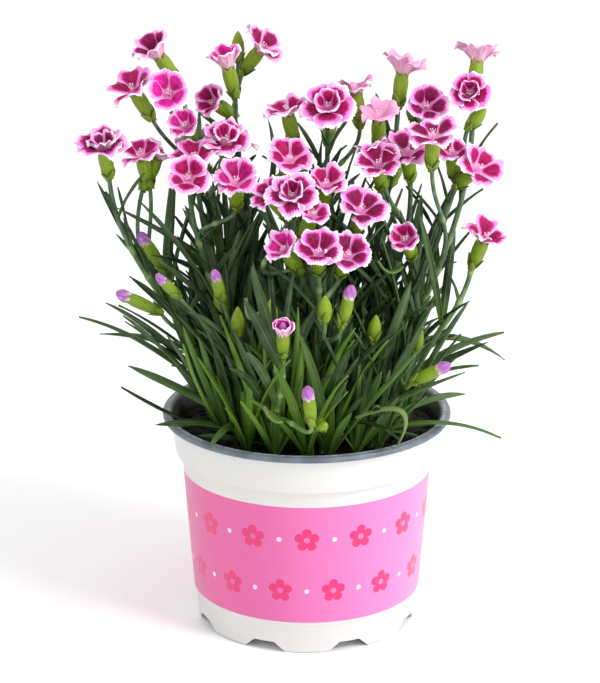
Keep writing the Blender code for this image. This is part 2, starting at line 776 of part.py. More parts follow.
class LeafyStem:
    """One leafy stem with its stalks, calyxes, green buds and leaves, which become one body."""

    def __init__(self, plan, number):
        self.plan = plan
        self.name = plan["name"]
        self.rng = random.Random(SEED + number)
        self.pieces = new_collection("loose_" + self.name)
        self.leaf_count = 0
        self.first_turn = self.rng.uniform(0, math.pi)
        self.ends = []
        for _, pixel, depth, facing, _, _, _, share in plan["blooms"]:
            foot, top = calyx_line(pixel, depth, facing)
            self.ends.append((foot, top, CALYX_RADIUS, None, share))
        for pixel, depth, pointing, length, tip, share in plan["buds"]:
            foot = seen_at(pixel, depth)
            top = foot + Vector(pointing).normalized() * length
            self.ends.append((foot, top, BUD_RADIUS, tip or "green", share))

    def add_calyxes(self, crowd, parts, material):
        """The calyx under each bloom, the closed green buds, and the coloured tips of others."""
        for foot, top, radius, bud, _ in self.ends:
            if bud == "green":
                made = make_bud("bud", foot, top, radius, self.pieces)
            else:
                made = make_calyx(foot, top, radius, self.pieces)
            crowd.add_object(self.name, made)
            if bud and bud != "green":
                axis = (top - foot).normalized()
                tip = make_bud(bud, top + axis * GAP, top + axis * BUD_TIP_LENGTH, BUD_TIP_RADIUS, parts)
                tip.data.materials.append(material)
                crowd.add_object(bud, tip)

    def add_main(self, crowd, parts):
        """The stem itself, from the foot of its hole in the soil to its first flower."""
        root = Vector((*self.plan["root"], SOIL_TOP + 2))
        foot, top, _, _, _ = self.ends[0]
        axis = (top - foot).normalized()
        span = foot - root
        lead = UP + Vector((span.x, span.y, 0)) * LEAN / span.length
        self.line = grow_line(crowd, self.rng, self.name, root, foot, axis, lead, STEM_POINTS, STEM_RADIUS)
        deep = Vector((*self.plan["root"], SOIL_TOP - HOLE_DEPTH + 0.6))
        line = [deep] + self.line[:-1] + [foot + axis * STALK_SINK]
        radii = [STEM_RADIUS - STEM_TAPER * index for index in range(len(line))]
        self.solid = tube(self.name, line, radii, parts)
        crowd.add_object(self.name, self.solid)

    def add_stalks(self, crowd):
        for foot, top, _, _, share in self.ends[1:]:
            index = min(round(share * (len(self.line) - 1)), len(self.line) - 2)
            start = self.line[index]
            lead = (self.line[index + 1] - self.line[max(index - 1, 0)]).normalized()
            axis = (top - foot).normalized()
            stalk = grow_line(
                crowd, self.rng, self.name, start, foot, axis, lead, STALK_POINTS, STALK_RADIUS
            )
            stalk[-1] = foot + axis * STALK_SINK
            made = tube("stalk", stalk, [STALK_RADIUS] * len(stalk), self.pieces)
            crowd.add_object(self.name, made)

    def add_leaf(self, leaf):
        made = object_from("leaf", *leaf_shape(leaf), self.pieces)
        repaired = bmesh.new()
        repaired.from_mesh(made.data)
        bmesh.ops.recalc_face_normals(repaired, faces=repaired.faces)
        repaired.to_mesh(made.data)
        repaired.free()
        self.leaf_count += 1

    def add_shown_leaves(self, crowd):
        """The leaves that stand out in the front view, each with its tip in its place."""
        for share, pixel, depth, arch, width in self.plan["leaves"]:
            spot = along(self.line, share)
            tip = seen_at(pixel, depth)
            for attempt in range(TRIES):
                bend = spot.lerp(tip, 0.5) + UP * arch + sway_vector(self.rng, 0.8 * attempt)
                leaf = (spot, bend, tip, width, self.rng.uniform(-LEAF_TWIST, LEAF_TWIST))
                if place_leaf(crowd, self.name, leaf):
                    self.add_leaf(leaf)
                    break

    def add_pair(self, crowd, node):
        """A pair of opposite leaves at a node, a quarter turn on from the pair below."""
        total = sum((b - a).length for a, b in zip(self.line, self.line[1:]))
        height = NODE_HEIGHTS[node]
        if height > TOP_NODE * total:
            return
        spot = along(self.line, height / total)
        for half in range(2):
            for _ in range(LEAF_TRIES):
                turn = self.first_turn + math.pi * (0.5 * node + half) + self.rng.uniform(-0.6, 0.6)
                leaf = rule_leaf(self.rng, spot, turn, height)
                if self.leaf_count < LEAVES_PER_STEM and place_leaf(crowd, self.name, leaf):
                    self.add_leaf(leaf)
                    break


def fuse(target, pieces, material, solver):
    """Joins the loose pieces to the target in one union, then removes them."""
    boolean(target, pieces, "UNION", solver)
    settle(target)
    target.data.materials.clear()
    target.data.materials.append(material)
    for obj in list(pieces.objects):
        bpy.data.objects.remove(obj, do_unlink=True)
    bpy.data.collections.remove(pieces)


def add_blooms(crowd, parts, material):
    flowers = []
    for plan in STEMS:
        for bloom in plan["blooms"]:
            if bloom[0]:
                flowers.append((bloom[0], []))
            flowers[-1][1].append(bloom[1:-1])
    for name, heads in flowers:
        pieces = new_collection("loose_" + name)
        for head in heads:
            make_bloom(*head, pieces)
        first = pieces.objects[0]
        pieces.objects.unlink(first)
        parts.objects.link(first)
        first.name = name
        fuse(first, pieces, material, "EXACT")
        crowd.add_object(name, first)


def main():
    clear_scene()
    parts = new_collection("dianthus_in_pot")
    crowd = Crowd()
    crowd.add_object("pot", make_pot(parts))
    make_soil(parts, [plan["root"] for plan in STEMS])
    add_blooms(crowd, parts, make_material("petal_pink", "petal"))
    stems = [LeafyStem(plan, number) for number, plan in enumerate(STEMS)]
    lilac = make_material("bud_lilac", "bud")
    green = make_material("leaf_green", "green")
    for stem in stems:
        stem.add_calyxes(crowd, parts, lilac)
    for stem in stems:
        stem.add_main(crowd, parts)
    for stem in stems:
        stem.add_stalks(crowd)
    for stem in stems:
        stem.add_shown_leaves(crowd)
    for node in range(len(NODE_HEIGHTS)):
        for stem in stems:
            stem.add_pair(crowd, node)
    for stem in stems:
        fuse(stem.solid, stem.pieces, green, "MANIFOLD")


main()
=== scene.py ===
import json
import math
import random

import bmesh
import bpy
import numpy as np
from mathutils import Matrix, Vector
from mathutils.kdtree import KDTree

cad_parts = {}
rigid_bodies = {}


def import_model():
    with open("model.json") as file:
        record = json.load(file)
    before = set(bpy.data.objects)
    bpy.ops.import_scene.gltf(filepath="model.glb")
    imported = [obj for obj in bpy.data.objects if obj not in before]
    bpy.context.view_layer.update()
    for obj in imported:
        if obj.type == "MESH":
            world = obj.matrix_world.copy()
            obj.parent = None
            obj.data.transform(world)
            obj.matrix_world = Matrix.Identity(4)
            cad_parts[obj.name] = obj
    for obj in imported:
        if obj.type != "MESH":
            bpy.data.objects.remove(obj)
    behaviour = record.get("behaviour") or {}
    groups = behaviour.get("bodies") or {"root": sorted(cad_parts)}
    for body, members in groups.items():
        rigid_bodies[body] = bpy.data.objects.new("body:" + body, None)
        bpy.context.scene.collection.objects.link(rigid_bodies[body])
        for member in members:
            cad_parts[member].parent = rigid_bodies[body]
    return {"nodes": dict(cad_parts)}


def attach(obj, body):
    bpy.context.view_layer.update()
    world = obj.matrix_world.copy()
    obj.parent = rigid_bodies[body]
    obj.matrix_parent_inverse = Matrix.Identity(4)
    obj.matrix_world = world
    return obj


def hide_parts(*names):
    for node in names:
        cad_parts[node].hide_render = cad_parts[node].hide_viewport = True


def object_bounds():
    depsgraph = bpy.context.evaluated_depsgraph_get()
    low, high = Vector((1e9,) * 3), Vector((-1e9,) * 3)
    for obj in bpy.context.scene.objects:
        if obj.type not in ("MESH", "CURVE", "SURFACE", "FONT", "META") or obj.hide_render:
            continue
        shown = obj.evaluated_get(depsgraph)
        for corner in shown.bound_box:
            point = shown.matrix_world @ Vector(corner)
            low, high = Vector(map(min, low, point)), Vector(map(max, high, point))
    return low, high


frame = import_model()
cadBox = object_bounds()
print("frame loaded with", len(frame["nodes"]), "nodes")

mm = 0.001
up = Vector((0, 0, 1))
seeds = {
    "filaments": 5, "tufts": 77, "lateGrowth": 55, "soil": 31, "looks": 500, "extraLeaves": 900,
    "blooms": 100, "budTips": 300,
}


# Helpers for modelling by hand

def deselectAll():
    if bpy.context.mode != "OBJECT":
        bpy.ops.object.mode_set(mode="OBJECT")
    bpy.ops.object.select_all(action="DESELECT")
    bpy.context.view_layer.objects.active = None


def activate(obj):
    deselectAll()
    obj.select_set(True)
    bpy.context.view_layer.objects.active = obj


def beginEdit(obj):
    activate(obj)
    bpy.ops.object.mode_set(mode="EDIT")
    bpy.ops.mesh.select_mode(type="VERT")


def endEdit():
    bpy.ops.object.mode_set(mode="OBJECT")


def pick(obj, test):             # selects the points that pass the test, in edit mode
    shape = bmesh.from_edit_mesh(obj.data)
    for vert in shape.verts:
        vert.select = test(vert.co)
    shape.select_flush_mode()
    bmesh.update_edit_mesh(obj.data)


def applyModifiers(obj):
    activate(obj)
    for modifier in list(obj.modifiers):
        bpy.ops.object.modifier_apply(modifier=modifier.name)


def newPrimitive(name, add, **settings):
    deselectAll()
    add(**settings)
    made = bpy.context.active_object
    made.name = name
    activate(made)
    bpy.ops.object.transform_apply(location=True, rotation=True, scale=True)
    return made


def paintUv(obj, place):          # UV worked out from each point, with no wrap inside a face
    layer = obj.data.uv_layers.get("UVMap") or obj.data.uv_layers.new(name="UVMap")
    for face in obj.data.polygons:
        uvs = [list(place(obj.data.vertices[v].co)) for v in face.vertices]
        for uv in uvs:
            if uv[0] - uvs[0][0] > 0.5:
                uv[0] -= 1
            if uv[0] - uvs[0][0] < -0.5:
                uv[0] += 1
        for loop, uv in zip(face.loop_indices, uvs):
            layer.data[loop].uv = uv


def aroundUv(co):
    return (math.atan2(co.y, co.x) / math.tau + 0.5, co.z)


def finishTemplate(obj, *materials):
    for finish in materials:
        obj.data.materials.append(finish)
    obj.data.attributes.new("tint", "FLOAT", "POINT")
    obj.data.shade_smooth()
    templates.append(obj)
    return obj


templates = []


def pointsOf(mesh):
    flat = np.empty(len(mesh.vertices) * 3, np.float32)
    mesh.vertices.foreach_get("co", flat)
    return flat.reshape(-1, 3).astype(float)


def copyOf(template, place, tint):            # a copy with its own mesh, its points moved by place
    mesh = template.data.copy()
    points = np.asarray(place(pointsOf(mesh)), np.float32)
    mesh.vertices.foreach_set("co", points.ravel())
    tints = np.broadcast_to(np.asarray(tint, np.float32), len(points))
    mesh.attributes["tint"].data.foreach_set("value", np.ascontiguousarray(tints))
    made = bpy.data.objects.new(template.name + "Copy", mesh)
    bpy.context.scene.collection.objects.link(made)
    return made


def byMatrix(matrix):
    turn = np.array(matrix.to_3x3())
    shift = np.array(matrix.translation)
    return lambda points: points @ turn.T + shift


def joinAll(loose):
    deselectAll()
    for obj in loose:
        obj.select_set(True)
    bpy.context.view_layer.objects.active = loose[0]
    if len(loose) > 1:
        bpy.ops.object.join()
    return bpy.context.view_layer.objects.active


def joinPieces(name, loose, replaced=None):
    piece = joinAll(loose)
    piece.name = name
    bpy.ops.object.mode_set(mode="EDIT")
    bpy.ops.mesh.select_all(action="SELECT")
    bpy.ops.mesh.normals_make_consistent(inside=False)
    bpy.ops.object.mode_set(mode="OBJECT")
    settle(piece, replaced)


def keepInBox(piece):             # no finer form reaches past the box of the solids
    points = np.clip(pointsOf(piece.data), *(list(corner) for corner in cadBox))
    piece.data.vertices.foreach_set("co", np.asarray(points, np.float32).ravel())
    piece.data.update()


def settle(piece, replaced=None):
    keepInBox(piece)
    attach(piece, "root")
    if replaced:
        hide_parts(replaced)


# Finishes

class Wire:                       # a shader socket that takes part in sums
    def __init__(self, finish, socket):
        self.finish = finish
        self.socket = socket

    def __add__(self, other):
        return self.finish.maths("ADD", self, other)

    def __radd__(self, other):
        return self.finish.maths("ADD", other, self)

    def __sub__(self, other):
        return self.finish.maths("SUBTRACT", self, other)

    def __rsub__(self, other):
        return self.finish.maths("SUBTRACT", other, self)

    def __mul__(self, other):
        return self.finish.maths("MULTIPLY", self, other)

    def __rmul__(self, other):
        return self.finish.maths("MULTIPLY", other, self)

    def __truediv__(self, other):
        return self.finish.maths("DIVIDE", self, other)

    def __lt__(self, other):
        return self.finish.maths("LESS_THAN", self, other)

    def __abs__(self):
        return self.finish.maths("ABSOLUTE", self)


class Finish:
    def __init__(self, name, colour, roughness, **sockets):
        self.material = bpy.data.materials.new(name)
        self.material.use_nodes = True
        self.tree = self.material.node_tree
        self.shader = self.tree.nodes["Principled BSDF"]
        self.shader.inputs["Base Color"].default_value = (*colour, 1)
        self.shader.inputs["Roughness"].default_value = roughness
        for socket, value in sockets.items():
            self.shader.inputs[socket.replace("_", " ")].default_value = value

    def node(self, kind, settings=None, values=None, out=0):
        made = self.tree.nodes.new("ShaderNode" + kind)
        for key, value in (settings or {}).items():
            setattr(made, key, value)
        for key, value in (values or {}).items():
            if isinstance(value, Wire):
                self.tree.links.new(value.socket, made.inputs[key])
            else:
                made.inputs[key].default_value = value
        return Wire(self, made.outputs[out])

    def maths(self, operation, *values):
        return self.node("Math", {"operation": operation}, dict(enumerate(values)))

    def feed(self, socket, wire):
        self.tree.links.new(wire.socket, self.shader.inputs[socket])

    def blend(self, factor, first, second):
        values = {0: factor}
        for key, colour in ((6, first), (7, second)):
            values[key] = colour if isinstance(colour, Wire) else (*colour, 1)
        return self.node("Mix", {"data_type": "RGBA"}, values, 2)

    def ramp(self, wire, low, high, start=0.0, end=1.0):
        return self.node(
            "MapRange", {"interpolation_type": "SMOOTHSTEP"}, {0: wire, 1: low, 2: high, 3: start, 4: end},
        )

    def parts(self, vector):
        made = self.tree.nodes.new("ShaderNodeSeparateXYZ")
        self.tree.links.new(vector.socket, made.inputs[0])
        return [Wire(self, output) for output in made.outputs]

    def uv(self):
        return self.parts(self.node("UVMap", {"uv_map": "UVMap"}))[:2]

    def place(self):
        return self.node("TexCoord", out=3)

    def tint(self):
        return self.node("Attribute", {"attribute_name": "tint"}, out=2)

    def vector(self, x, y, z=0.0):
        return self.node("CombineXYZ", values={0: x, 1: y, 2: z})

    def noise(self, vector, scale, detail=2.0):
        return self.node("TexNoise", values={0: vector, 2: scale, 3: detail})

    def bump(self, height, strength, distance):
        self.feed("Normal", self.node("Bump", values={0: strength, 1: distance, "Height": height}))


def linear(code):                 # a hex colour as linear light
    channels = [int(code[i:i + 2], 16) / 255 for i in (0, 2, 4)]
    return tuple(c / 12.92 if c <= 0.04045 else ((c + 0.055) / 1.055) ** 2.4 for c in channels)


def tones(**codes):
    return {name: linear(code) for name, code in codes.items()}


petalTones = tones(
    white="FFF3FC", pale="F3BDE8", pink="E070C8", magenta="CC1A8E", crimson="9E004C", dark="72003A",
    throat="E9A9CE", line="FBE6EE", faded="E7A9CB",
)
blotchForm = {"middle": 0.46, "long": 0.25, "longer": 0.08, "wide": 0.68}


def petalFaceFinish():
    made = Finish("petalFace", (0.8, 0.3, 0.6), 0.6, Specular_IOR_Level=0.12)
    tone = petalTones
    reach, across = made.uv()
    tint = made.tint()
    side = abs(across * 2 - 1)
    fan = (across - 0.5) / (reach + 0.35)     # veins spread from the throat
    streaks = made.noise(made.vector(fan * 46, reach * 2, tint * 340), 1.0, 3.0)
    fine = made.noise(made.vector(fan * 120, reach * 3, tint * 210), 1.0, 1.0)
    patches = made.noise(made.vector(across * 3, reach * 3, tint * 90), 1.0, 2.0)
    feather = (streaks - 0.5) * 0.95 + (patches - 0.5) * 0.5
    length = blotchForm["long"] + blotchForm["longer"] * made.maths("FRACT", tint * 13)
    ahead = (reach - blotchForm["middle"]) / length
    sideways = side / blotchForm["wide"]
    spread = made.maths("SQRT", ahead * ahead + sideways * sideways * sideways)
    blotch = made.ramp(spread + feather, 1.16, 0.92)
    hot = made.ramp(tint, 0.72, 0.8)
    deep = made.blend(made.ramp(tint, 0.1, 0.4), tone["dark"], tone["crimson"])
    deep = made.blend(hot, deep, tone["magenta"])
    deep = made.blend(made.ramp(patches, 0.42, 0.62, 0.0, 0.55), deep, tone["dark"])
    deep = made.blend(made.ramp(spread + feather, 0.6, 1.05, 0.0, 0.7), deep, tone["magenta"])
    deep = made.blend(made.ramp(fine, 0.56, 0.66, 0.0, 0.12), deep, tone["pale"])
    veil = made.ramp(made.maths("FRACT", tint * 7), 0.0, 1.0, 0.35, 1.0)
    outside = made.blend(veil, tone["pale"], tone["pink"])
    outside = made.blend(made.ramp(fine, 0.5, 0.65, 0.0, 0.4), outside, tone["pale"])
    margin = made.maths("MAXIMUM", reach + feather * 0.05, side * 0.97)
    outside = made.blend(made.ramp(margin, 0.76, 0.9, 0.0, 0.9), outside, tone["pale"])
    outside = made.blend(made.ramp(margin, 0.885, 0.95), outside, tone["white"])
    inner = made.blend(made.ramp(fine, 0.45, 0.6), tone["throat"], tone["line"])
    inner = made.blend(made.ramp(reach, 0.2, 0.08, 0.0, 0.7), inner, tone["pink"])
    colour = made.blend(made.ramp(reach + feather * 0.12, 0.16, 0.3), inner, outside)
    colour = made.blend(blotch, colour, deep)
    colour = made.blend(made.ramp(tint, 1.0, 1.2, 0.0, 0.84), colour, tone["faded"])
    made.feed("Base Color", colour)
    made.bump(streaks, 0.3, 0.0003)
    return made.material


petalUnderTones = tones(pink="D58DB6", pale="EBBEDA", claw="C7AE93", clawPale="D9B4BE", margin="F6DDF0")


def petalUnderFinish():
    made = Finish("petalUnder", (0.8, 0.5, 0.7), 0.6, Specular_IOR_Level=0.15)
    tone = petalUnderTones
    reach, across = made.uv()
    streaks = made.noise(made.vector(across * 30, reach * 3, made.tint() * 30), 1.0)
    colour = made.blend(made.ramp(streaks, 0.35, 0.65), tone["pink"], tone["pale"])
    claw = made.blend(made.ramp(streaks, 0.4, 0.6), tone["claw"], tone["clawPale"])
    colour = made.blend(made.ramp(reach, 0.34, 0.12), colour, claw)
    made.feed("Base Color", made.blend(made.ramp(reach, 0.9, 0.98), colour, tone["margin"]))
    made.bump(streaks, 0.2, 0.0003)
    return made.material


def filamentFinish():
    made = Finish("filament", linear("FBE6EF"), 0.5)
    return made.material


leafHeights = {"upper": 0.155, "lower": 0.1, "drift": 0.05}      # where the tone changes, in metres
leafTones = tones(
    upperDark="20391F", upperPale="405A30", lowerDark="1A360B", lowerPale="466A1A", mottle="687F58",
    base="587A22", youngDark="2E500B", youngPale="5A8022", curledBack="64793F", rib="9AB27A",
)


def leafFinish():                 # a tint over 1.1 is a young leaf, and one near 2 shows its pale back
    made = Finish("leafBlade", (0.05, 0.12, 0.05), 0.42, Specular_IOR_Level=0.3)
    tone = leafTones
    along, across = made.uv()
    tint = made.tint()
    height = made.parts(made.place())[2]
    drifted = height + (tint - 0.5) * leafHeights["drift"]
    low = made.ramp(drifted, leafHeights["upper"], leafHeights["lower"])
    mottle = made.noise(made.place(), 160.0, 3.0)
    upper = made.blend(made.ramp(tint, 0.0, 1.0), tone["upperDark"], tone["upperPale"])
    lower = made.blend(made.ramp(tint, 0.2, 1.0), tone["lowerDark"], tone["lowerPale"])
    colour = made.blend(low, upper, lower)
    colour = made.blend(made.ramp(mottle, 0.35, 0.7, 0.0, 0.3), colour, tone["mottle"])
    colour = made.blend(made.ramp(along, 0.42, 0.0, 0.0, 0.75), colour, tone["base"])
    young = made.blend(made.ramp(along, 0.0, 0.7), tone["youngDark"], tone["youngPale"])
    colour = made.blend(made.ramp(tint, 1.1, 1.4), colour, young)
    colour = made.blend(made.ramp(tint, 1.7, 1.9), colour, tone["curledBack"])
    rib = made.ramp(abs(across - 0.5), 0.07, 0.0)
    colour = made.blend(rib * 0.35, colour, tone["rib"])
    made.feed("Base Color", colour)
    veins = made.maths("SINE", across * 62)
    made.feed("Roughness", made.ramp(mottle, 0.3, 0.7, 0.36, 0.55))
    made.bump(veins * 0.5 + mottle, 0.3, 0.0003)
    return made.material


stemHeights = (0.1, 0.2)
stemTones = tones(low="5E8331", high="3C5C38", mottle="7F9A74", joint="9DB56C")


def stemFinish():                 # the tint is high at the joints
    made = Finish("stemSkin", (0.1, 0.2, 0.08), 0.45)
    tone = stemTones
    ring = made.tint()
    mottle = made.noise(made.place(), 220.0)
    height = made.parts(made.place())[2]
    colour = made.blend(made.ramp(height, *stemHeights), tone["low"], tone["high"])
    colour = made.blend(made.ramp(mottle, 0.35, 0.7, 0.0, 0.5), colour, tone["mottle"])
    colour = made.blend(ring * 0.75, colour, tone["joint"])
    made.feed("Base Color", colour)
    made.bump(mottle, 0.2, 0.0002)
    return made.material


# the rib tone is a painted highlight along the calyx's raised ribs
calyxTones = tones(foot="3A5A12", top="7A941E", mottle="4E6C16", rib="9CB03C", teeth="C9AE86")


def calyxFinish():
    made = Finish("calyxSkin", (0.2, 0.35, 0.05), 0.48, Specular_IOR_Level=0.3)
    tone = calyxTones
    around, along = made.uv()
    tint = made.tint()
    ribs = made.maths("SINE", around * 2 * math.tau * 10)
    mottle = made.noise(made.vector(around * 12, along * 3, tint * 20), 1.0, 3.0)
    colour = made.blend(made.ramp(along, 0.0, 0.55), tone["foot"], tone["top"])
    colour = made.blend(made.ramp(mottle, 0.45, 0.75, 0.0, 0.6), colour, tone["mottle"])
    # painted highlight: the raised ribs are painted lighter
    colour = made.blend(made.ramp(ribs, 0.2, 1.0, 0.0, 0.25), colour, tone["rib"])
    colour = made.blend(made.ramp(along, 0.9, 1.12, 0.0, 0.8), colour, tone["teeth"])
    made.feed("Base Color", colour)
    made.bump(ribs * 0.5 + mottle, 0.35, 0.0003)
    return made.material


budTipTones = tones(foot="E6D2E2", top="A75FB4", fold="9C3A92", streak="D9B2DC")


def budTipFinish():
    made = Finish("budPetals", (0.5, 0.1, 0.4), 0.5, Sheen_Weight=0.2)
    tone = budTipTones
    around, along = made.uv()
    folds = made.maths("SINE", (around + along * 0.25) * math.tau * 5)
    streaks = made.noise(made.vector(around * 16 + along * 3, along * 2, made.tint() * 20), 1.0, 2.0)
    climb = made.ramp(along + (streaks - 0.5) * 0.6, 0.05, 0.55)
    colour = made.blend(climb, tone["foot"], tone["top"])
    colour = made.blend(made.ramp(folds, 0.0, 0.9, 0.0, 0.65), colour, tone["fold"])
    colour = made.blend(made.ramp(streaks, 0.55, 0.7, 0.0, 0.6), colour, tone["streak"])
    made.feed("Base Color", colour)
    made.bump(folds, 0.3, 0.0003)
    return made.material


# The pot's print is a pink band with two staggered rows of small blossoms. Its fade across the pot is
# painted light: one pink, painted shaded at the left and lit towards the right.
potPrint = {
    "bandLow": 15.45, "bandHigh": 71.86, "radius": 54.5, "cells": 14, "rows": (31.0, 56.0),
    "blossom": 5.6, "dot": 1.1, "eye": (1.2, 1.5), "soft": 0.12, "fade": (-0.05, 0.055),
}
potWear = {"specksIn": 0.0634, "lip": (0.0624, 0.064), "stain": (0.0935, 0.0895), "stainDrift": 0.012}
# the band's two pinks are one print colour, painted shaded at the left and painted lit at the right
potTones = tones(
    white="D3D3D1", bandLeft="D84F94", bandRight="DC7CBE", blossom="D8136A", dot="F2D3E4",
    dust="8A8F93", dustPale="B4B7B9", lip="4F5A65", lipPale="6C7782", stain="1C1510", speck="2A211A",
)


def potOutsideFinish():
    tone = potTones
    made = Finish("potWhite", tone["white"], 0.35, Coat_Weight=0.35, Coat_Roughness=0.3)
    x, y, z = made.parts(made.place())
    height = z / mm
    angle = made.maths("ARCTAN2", x, 0 - y)
    mask = None
    dots = None
    soft = potPrint["soft"]
    step = math.tau / potPrint["cells"]
    for row, level in enumerate(potPrint["rows"]):
        shifted = angle / step + 0.5 * row + 100
        cell = made.maths("FRACT", shifted) - 0.5
        across = cell * (step * potPrint["radius"])
        rise = height - level
        reach = made.maths("SQRT", across * across + rise * rise)
        turn = made.maths("ARCTAN2", across, rise)
        lobes = abs(made.maths("COSINE", turn * 2.5))
        edge = (0.5 + 0.5 * made.maths("SQRT", lobes)) * potPrint["blossom"]
        blossom = made.ramp(edge - reach, -soft, soft) * made.ramp(reach, *potPrint["eye"])
        besides = abs(across) - 0.5 * step * potPrint["radius"]
        spot = made.maths("SQRT", besides * besides + rise * rise)
        dot = made.ramp(spot, potPrint["dot"] + soft, potPrint["dot"] - soft)
        mask = blossom if mask is None else mask + blossom
        dots = dot if dots is None else dots + dot
    # painted light: the band's pink is painted darker at the left and lighter at the right, as if lit from
    # the right
    pink = made.blend(made.ramp(x, *potPrint["fade"]), tone["bandLeft"], tone["bandRight"])
    pink = made.blend(mask, pink, tone["blossom"])
    pink = made.blend(dots, pink, tone["dot"])
    band = made.ramp(height, potPrint["bandLow"] - 0.1, potPrint["bandLow"] + 0.1)
    band = band * made.ramp(height, potPrint["bandHigh"] + 0.1, potPrint["bandHigh"] - 0.1)
    made.feed("Base Color", made.blend(band, tone["white"], pink))
    return made.material


def potInsideFinish():
    tone = potTones
    made = Finish("potGrey", linear("66717C"), 0.34)
    x, y, z = made.parts(made.place())
    out = made.maths("SQRT", x * x + y * y)
    wear = made.noise(made.place(), 90.0, 4.0)
    specks = made.ramp(made.noise(made.place(), 700.0, 3.0), 0.56, 0.64) * (out < potWear["specksIn"])
    dust = made.blend(made.ramp(wear, 0.35, 0.65), tone["dust"], tone["dustPale"])
    lip = made.blend(made.ramp(wear, 0.3, 0.7), tone["lip"], tone["lipPale"])
    colour = made.blend(made.ramp(out, *potWear["lip"]), dust, lip)
    stain = made.ramp(z + (wear - 0.5) * potWear["stainDrift"], *potWear["stain"], 0.0, 0.9)
    colour = made.blend(stain, colour, tone["stain"])
    made.feed("Base Color", made.blend(specks * 0.7, colour, tone["speck"]))
    made.feed("Roughness", made.ramp(wear, 0.3, 0.7, 0.3, 0.45))
    return made.material


soilTones = tones(dark="0D0906", brown="281C13", fibre="4C3929")


def soilFinish():
    made = Finish("pottingSoil", (0.02, 0.012, 0.008), 0.92)
    tone = soilTones
    coarse = made.noise(made.place(), 260.0, 5.0)
    fine = made.noise(made.place(), 1100.0, 3.0)
    colour = made.blend(made.ramp(coarse, 0.35, 0.65), tone["dark"], tone["brown"])
    colour = made.blend(made.ramp(fine, 0.62, 0.72, 0.0, 0.7), colour, tone["fibre"])
    made.feed("Base Color", colour)
    made.bump(coarse + fine * 0.6, 0.9, 0.0012)
    return made.material


petalFace = petalFaceFinish()
petalUnder = petalUnderFinish()
filament = filamentFinish()
leafBlade = leafFinish()
stemSkin = stemFinish()
calyxSkin = calyxFinish()
budPetals = budTipFinish()
potWhite = potOutsideFinish()
potGrey = potInsideFinish()
pottingSoil = soilFinish()
print("finishes made")


def addWall(made, thickness):
    wall = made.modifiers.new("wall", "SOLIDIFY")
    wall.thickness = thickness
    wall.offset = 0
    return wall


def newGrid(name, along, across):         # a unit sheet that starts at the origin and runs along X
    return newPrimitive(
        name, bpy.ops.mesh.primitive_grid_add, x_subdivisions=along, y_subdivisions=across,
        size=1, location=(0.5, 0, 0), calc_uvs=True,
    )


# Petal: a grid drawn in to a claw, rounded and toothed at its margin. X runs from claw to margin.
petalForm = {
    "cells": 16, "claw": 0.12, "clawWidth": 0.36, "flare": 1.25, "widest": 0.72, "endWidth": 0.84,
    "roundness": 0.42, "bow": 2.4, "bowSide": 0.96, "teeth": 0.024, "thickness": 0.03,
}


def petalWidth(reach):
    form = petalForm
    spread = min(1.0, max(0.0, (reach - form["claw"]) / (form["widest"] - form["claw"])))
    full = form["clawWidth"] + (1 - form["clawWidth"]) * math.sin(spread * math.pi / 2) ** form["flare"]
    beyond = max(0.0, reach - form["widest"]) / (1 - form["widest"])
    return full * (1 - (1 - form["endWidth"]) * beyond ** 2)


def petalBack(reach, side):       # how far a point is drawn back from the margin, more at the sides
    bow = math.sqrt(1 - (petalForm["bowSide"] * abs(side)) ** petalForm["bow"])
    return petalForm["roundness"] * (1 - bow) * reach ** 2


def makePetal():
    count = petalForm["cells"]
    made = newGrid("petalPattern", count, count)
    beginEdit(made)
    for step in range(count + 1):             # each row is pulled back at its sides, then drawn in
        reach = step / count
        for column in range(count + 1):
            side = 2 * column / count - 1
            tooth = petalForm["teeth"] * (-1) ** column if step == count else 0
            pick(made, lambda co: abs(co.x - reach) < 0.001 and abs(co.y - side / 2) < 0.001)
            inward = (petalWidth(reach) - 1) * side / 2
            bpy.ops.transform.translate(value=(tooth - petalBack(reach, side), inward, 0))
    endEdit()
    addWall(made, petalForm["thickness"]).material_offset = 1
    finishTemplate(made, petalFace, petalUnder)
    applyModifiers(made)
    return made


# Leaf: a channelled blade. X runs from the stem to the tip, Y across.
leafForm = {"across": 4, "along": 14, "thickness": 0.05}


def makeLeaf():
    made = newGrid("leafPattern", leafForm["along"], leafForm["across"])
    addWall(made, leafForm["thickness"])
    finishTemplate(made, leafBlade)
    applyModifiers(made)
    return made


# Tubes and turned forms start as a ring that is extruded and drawn in or out.
def extrudedRing(name, sides, profile, capped=True):
    made = newPrimitive(
        name, bpy.ops.mesh.primitive_circle_add, vertices=sides, radius=profile[0][0],
        location=(0, 0, profile[0][1]), fill_type="NOTHING",
    )
    beginEdit(made)
    bpy.ops.mesh.select_all(action="SELECT")
    if capped:
        bpy.ops.mesh.edge_face_add()
    for (radius, height), (wider, higher) in zip(profile, profile[1:]):
        bpy.ops.mesh.extrude_region_move(TRANSFORM_OT_translate={"value": (0, 0, higher - height)})
        bpy.ops.transform.resize(value=(wider / radius, wider / radius, 1), center_override=(0, 0, higher))
    endEdit()
    return made


rodForm = {"sides": 8, "stemRings": 72, "stalkRings": 20, "look": 0.02, "across": (0.2, 1.0, 0.1)}


def makeRod(rings):               # a unit tube for stems and stalks
    made = extrudedRing("rodPattern", rodForm["sides"], [(1, step / rings) for step in range(rings + 1)])
    paintUv(made, aroundUv)
    return finishTemplate(made, stemSkin)


